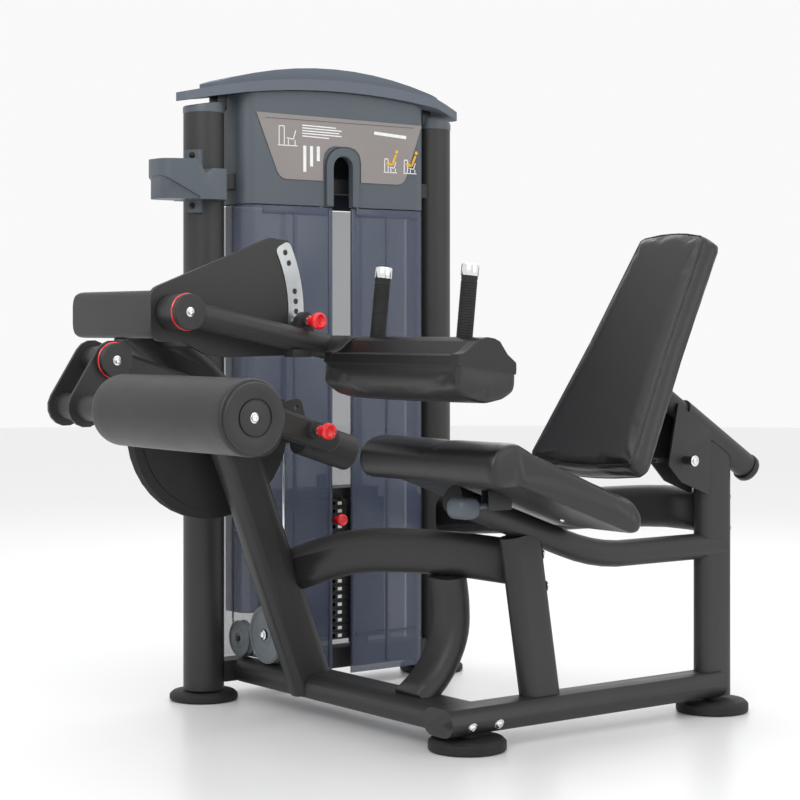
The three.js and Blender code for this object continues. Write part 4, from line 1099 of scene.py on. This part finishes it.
def build_roller():
    """The foam roller: a skin that swells slightly, a lipped end and a recessed hub."""
    low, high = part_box("roller_pad")
    centre = (low + high) / 2
    radius = (high.z - low.z) / 2
    length = high.x - low.x
    bm = bmesh.new()
    profile = [(0.0215, 0), (radius - 0.012, 0), (radius - 0.006, 0.0012)]
    profile += [(radius - 0.0018, 0.005), (radius - 0.0006, 0.011)]
    for step in range(1, 16):
        share = step / 16
        bulge = radius - 0.0006 + 0.0006 * math.sin(math.pi * share)
        profile.append((bulge, 0.011 + (length - 0.028) * share))
    profile += [(radius, length - 0.017), (radius - 0.0008, length - 0.012)]
    profile += [(radius - 0.0035, length - 0.009)]
    profile += [(radius - 0.0062, length - 0.0085), (radius - 0.0066, length - 0.0065)]
    profile += [(radius - 0.0072, length - 0.003), (radius - 0.0095, length - 0.0008)]
    profile += [(radius - 0.013, length), (0.0372, length), (0.0362, length - 0.0008)]
    profile += [(0.036, length - 0.0032), (0.0335, length - 0.0036)]
    profile += [(0.0332, length - 0.0012), (0.0322, length - 0.0004)]
    profile += [(0.0105, length - 0.0006), (0.0098, length - 0.003), (0.0215, length - 0.0055)]
    lathe_ring(bm, profile[:-1], (low.x, centre.y, centre.z), 96)
    piece = finish_piece("roller_foam", bm, "foam", "roller", smooth=50, replaces=("roller_pad",))
    bm = bmesh.new()
    button_bolt(bm, (high.x - 0.0035, centre.y, centre.z), X_AXIS, 0.0075, 0.004)
    finish_piece("roller_bolt", bm, "steel", "roller", smooth=32)


def lathe_ring(bm, profile, start, sides):
    """A turned part round X whose profile closes on itself."""
    rings = []
    for radius, height in profile:
        centre = Vector(start) + X_AXIS * height
        turns = [2 * math.pi * side / sides for side in range(sides)]
        rings.append([centre + Vector((0, math.cos(turn), math.sin(turn))) * radius for turn in turns])
    skin_rings(bm, rings, closed=True)


def build_seat_underside():
    """Straps under the seat's board, beside the rail, and the bracket that holds the release lever."""
    low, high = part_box("seat_pad")
    rail_low, rail_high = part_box("seat_rail")
    slope = math.radians(20)
    along = Vector((0, math.cos(slope), -math.sin(slope)))
    out = Vector((0, -math.sin(slope), -math.cos(slope)))
    rear = Vector((0, high.y - 0.03, low.z + 0.012))
    bolts = bmesh.new()
    bm = bmesh.new()
    for x in (rail_low.x - 0.03, rail_high.x + 0.03):
        start = X_AXIS * x + rear - along * 0.29 + out * 0.004
        bar(bm, start, along, X_AXIS, 0.27, 0.035, 0.006)
        for reach in (0.035, 0.235):
            button_bolt(bolts, start + along * reach + out * 0.0035, out, 0.0065)
    pivot = axis_point("seat_release_turn")
    for side in (-0.011, 0.011):
        x = pivot.x + side
        corner = (x - 0.0015, pivot.y - 0.014, pivot.z - 0.012)
        rounded_box(bm, corner, (x + 0.0015, pivot.y + 0.05, pivot.z + 0.03), 0.001, 2)
    finish_piece("seat_straps", bm, "coat", "base")
    finish_piece("seat_strap_bolts", bolts, "steel", "base", smooth=32)


def bar(bm, start, along, across, length, width, thickness):
    """A straight flat bar with rounded edges: from start, along one direction."""
    up = along.cross(across).normalized()
    made = bmesh.ops.create_cube(bm, size=1.0)["verts"]
    turn = Matrix((along, across, up)).transposed().to_4x4()
    centre = start + along * length / 2
    scale = Matrix.Diagonal((length, width, thickness, 1))
    bmesh.ops.transform(bm, matrix=Matrix.Translation(centre) @ turn @ scale, verts=made)
    edges = list({edge for vert in made for edge in vert.link_edges})
    offset = min(thickness * 0.3, 0.002)
    bmesh.ops.bevel(bm, geom=edges, offset=offset, segments=2, profile=0.5, affect="EDGES")


# ---------------------------------------------------------------- camera, light and floor


def build_camera():
    data = bpy.data.cameras.new("view")
    data.sensor_width = 36.0
    data.lens = 92.34
    data.shift_y = -0.09125
    camera = bpy.data.objects.new("view", data)
    camera.location = (3.716, -2.79104, 0.8945)
    camera.rotation_euler = (math.radians(90), 0, math.radians(52.8))
    bpy.context.scene.collection.objects.link(camera)
    bpy.context.scene.camera = camera


def area_light(name, place, target, size, power):
    data = bpy.data.lights.new(name, "AREA")
    data.shape = "RECTANGLE"
    data.size, data.size_y = size
    data.energy = power
    light = bpy.data.objects.new(name, data)
    light.location = place
    light.rotation_euler = (Vector(target) - Vector(place)).to_track_quat("-Z", "Y").to_euler()
    bpy.context.scene.collection.objects.link(light)


def build_studio():
    area_light("key", (2.6, -3.4, 3.6), (0, 0, 0.7), (2.4, 2.4), 75)
    area_light("fill", (4.2, 1.6, 2.2), (0, 0, 0.6), (2.6, 2.6), 26)
    area_light("rim", (-2.8, 2.6, 3.0), (0, 0, 0.8), (2.0, 2.0), 30)
    area_light("top", (0.2, 0.0, 4.2), (0, 0, 0), (3.2, 3.2), 40)
    world = bpy.data.worlds.new("studio")
    world.use_nodes = True
    background = world.node_tree.nodes["Background"]
    background.inputs["Color"].default_value = (1, 1, 1, 1)
    background.inputs["Strength"].default_value = 0.95
    bpy.context.scene.world = world
    bpy.context.scene.view_settings.view_transform = "Standard"


def build_floor():
    """A pale flat floor disc."""
    look = Look("floor", (0.86, 0.86, 0.865), 0.32)
    look.uneven_gloss(1.5, 0.04)
    bm = bmesh.new()
    bmesh.ops.create_circle(bm, cap_ends=True, segments=96, radius=14.0)
    mesh = bpy.data.meshes.new("floor")
    bm.to_mesh(mesh)
    bm.free()
    mesh.materials.append(look.material)
    floor = bpy.data.objects.new("floor", mesh)
    floor.location = (0, 0, -0.0004)
    bpy.context.scene.collection.objects.link(floor)

# ---------------------------------------------------------------- assembly

build_camera()
build_studio()
build_floor()
build_refined()
finish_stack_cable()
build_frame_bolts()
build_column_caps()
build_cover_brackets()
build_shroud_ribs()
build_stack_buffers()
build_number_marks()
build_placard_marks()
build_holder_screws()
build_pivot_caps()
build_knobs()
build_lanyard()
build_cam_face()
build_guide_ends()
build_gusset_bolts()
build_grips()
build_pulley_faces()
build_seat_pad()
build_seat_underside()
build_back_pad()
build_thigh_pad()
build_roller()
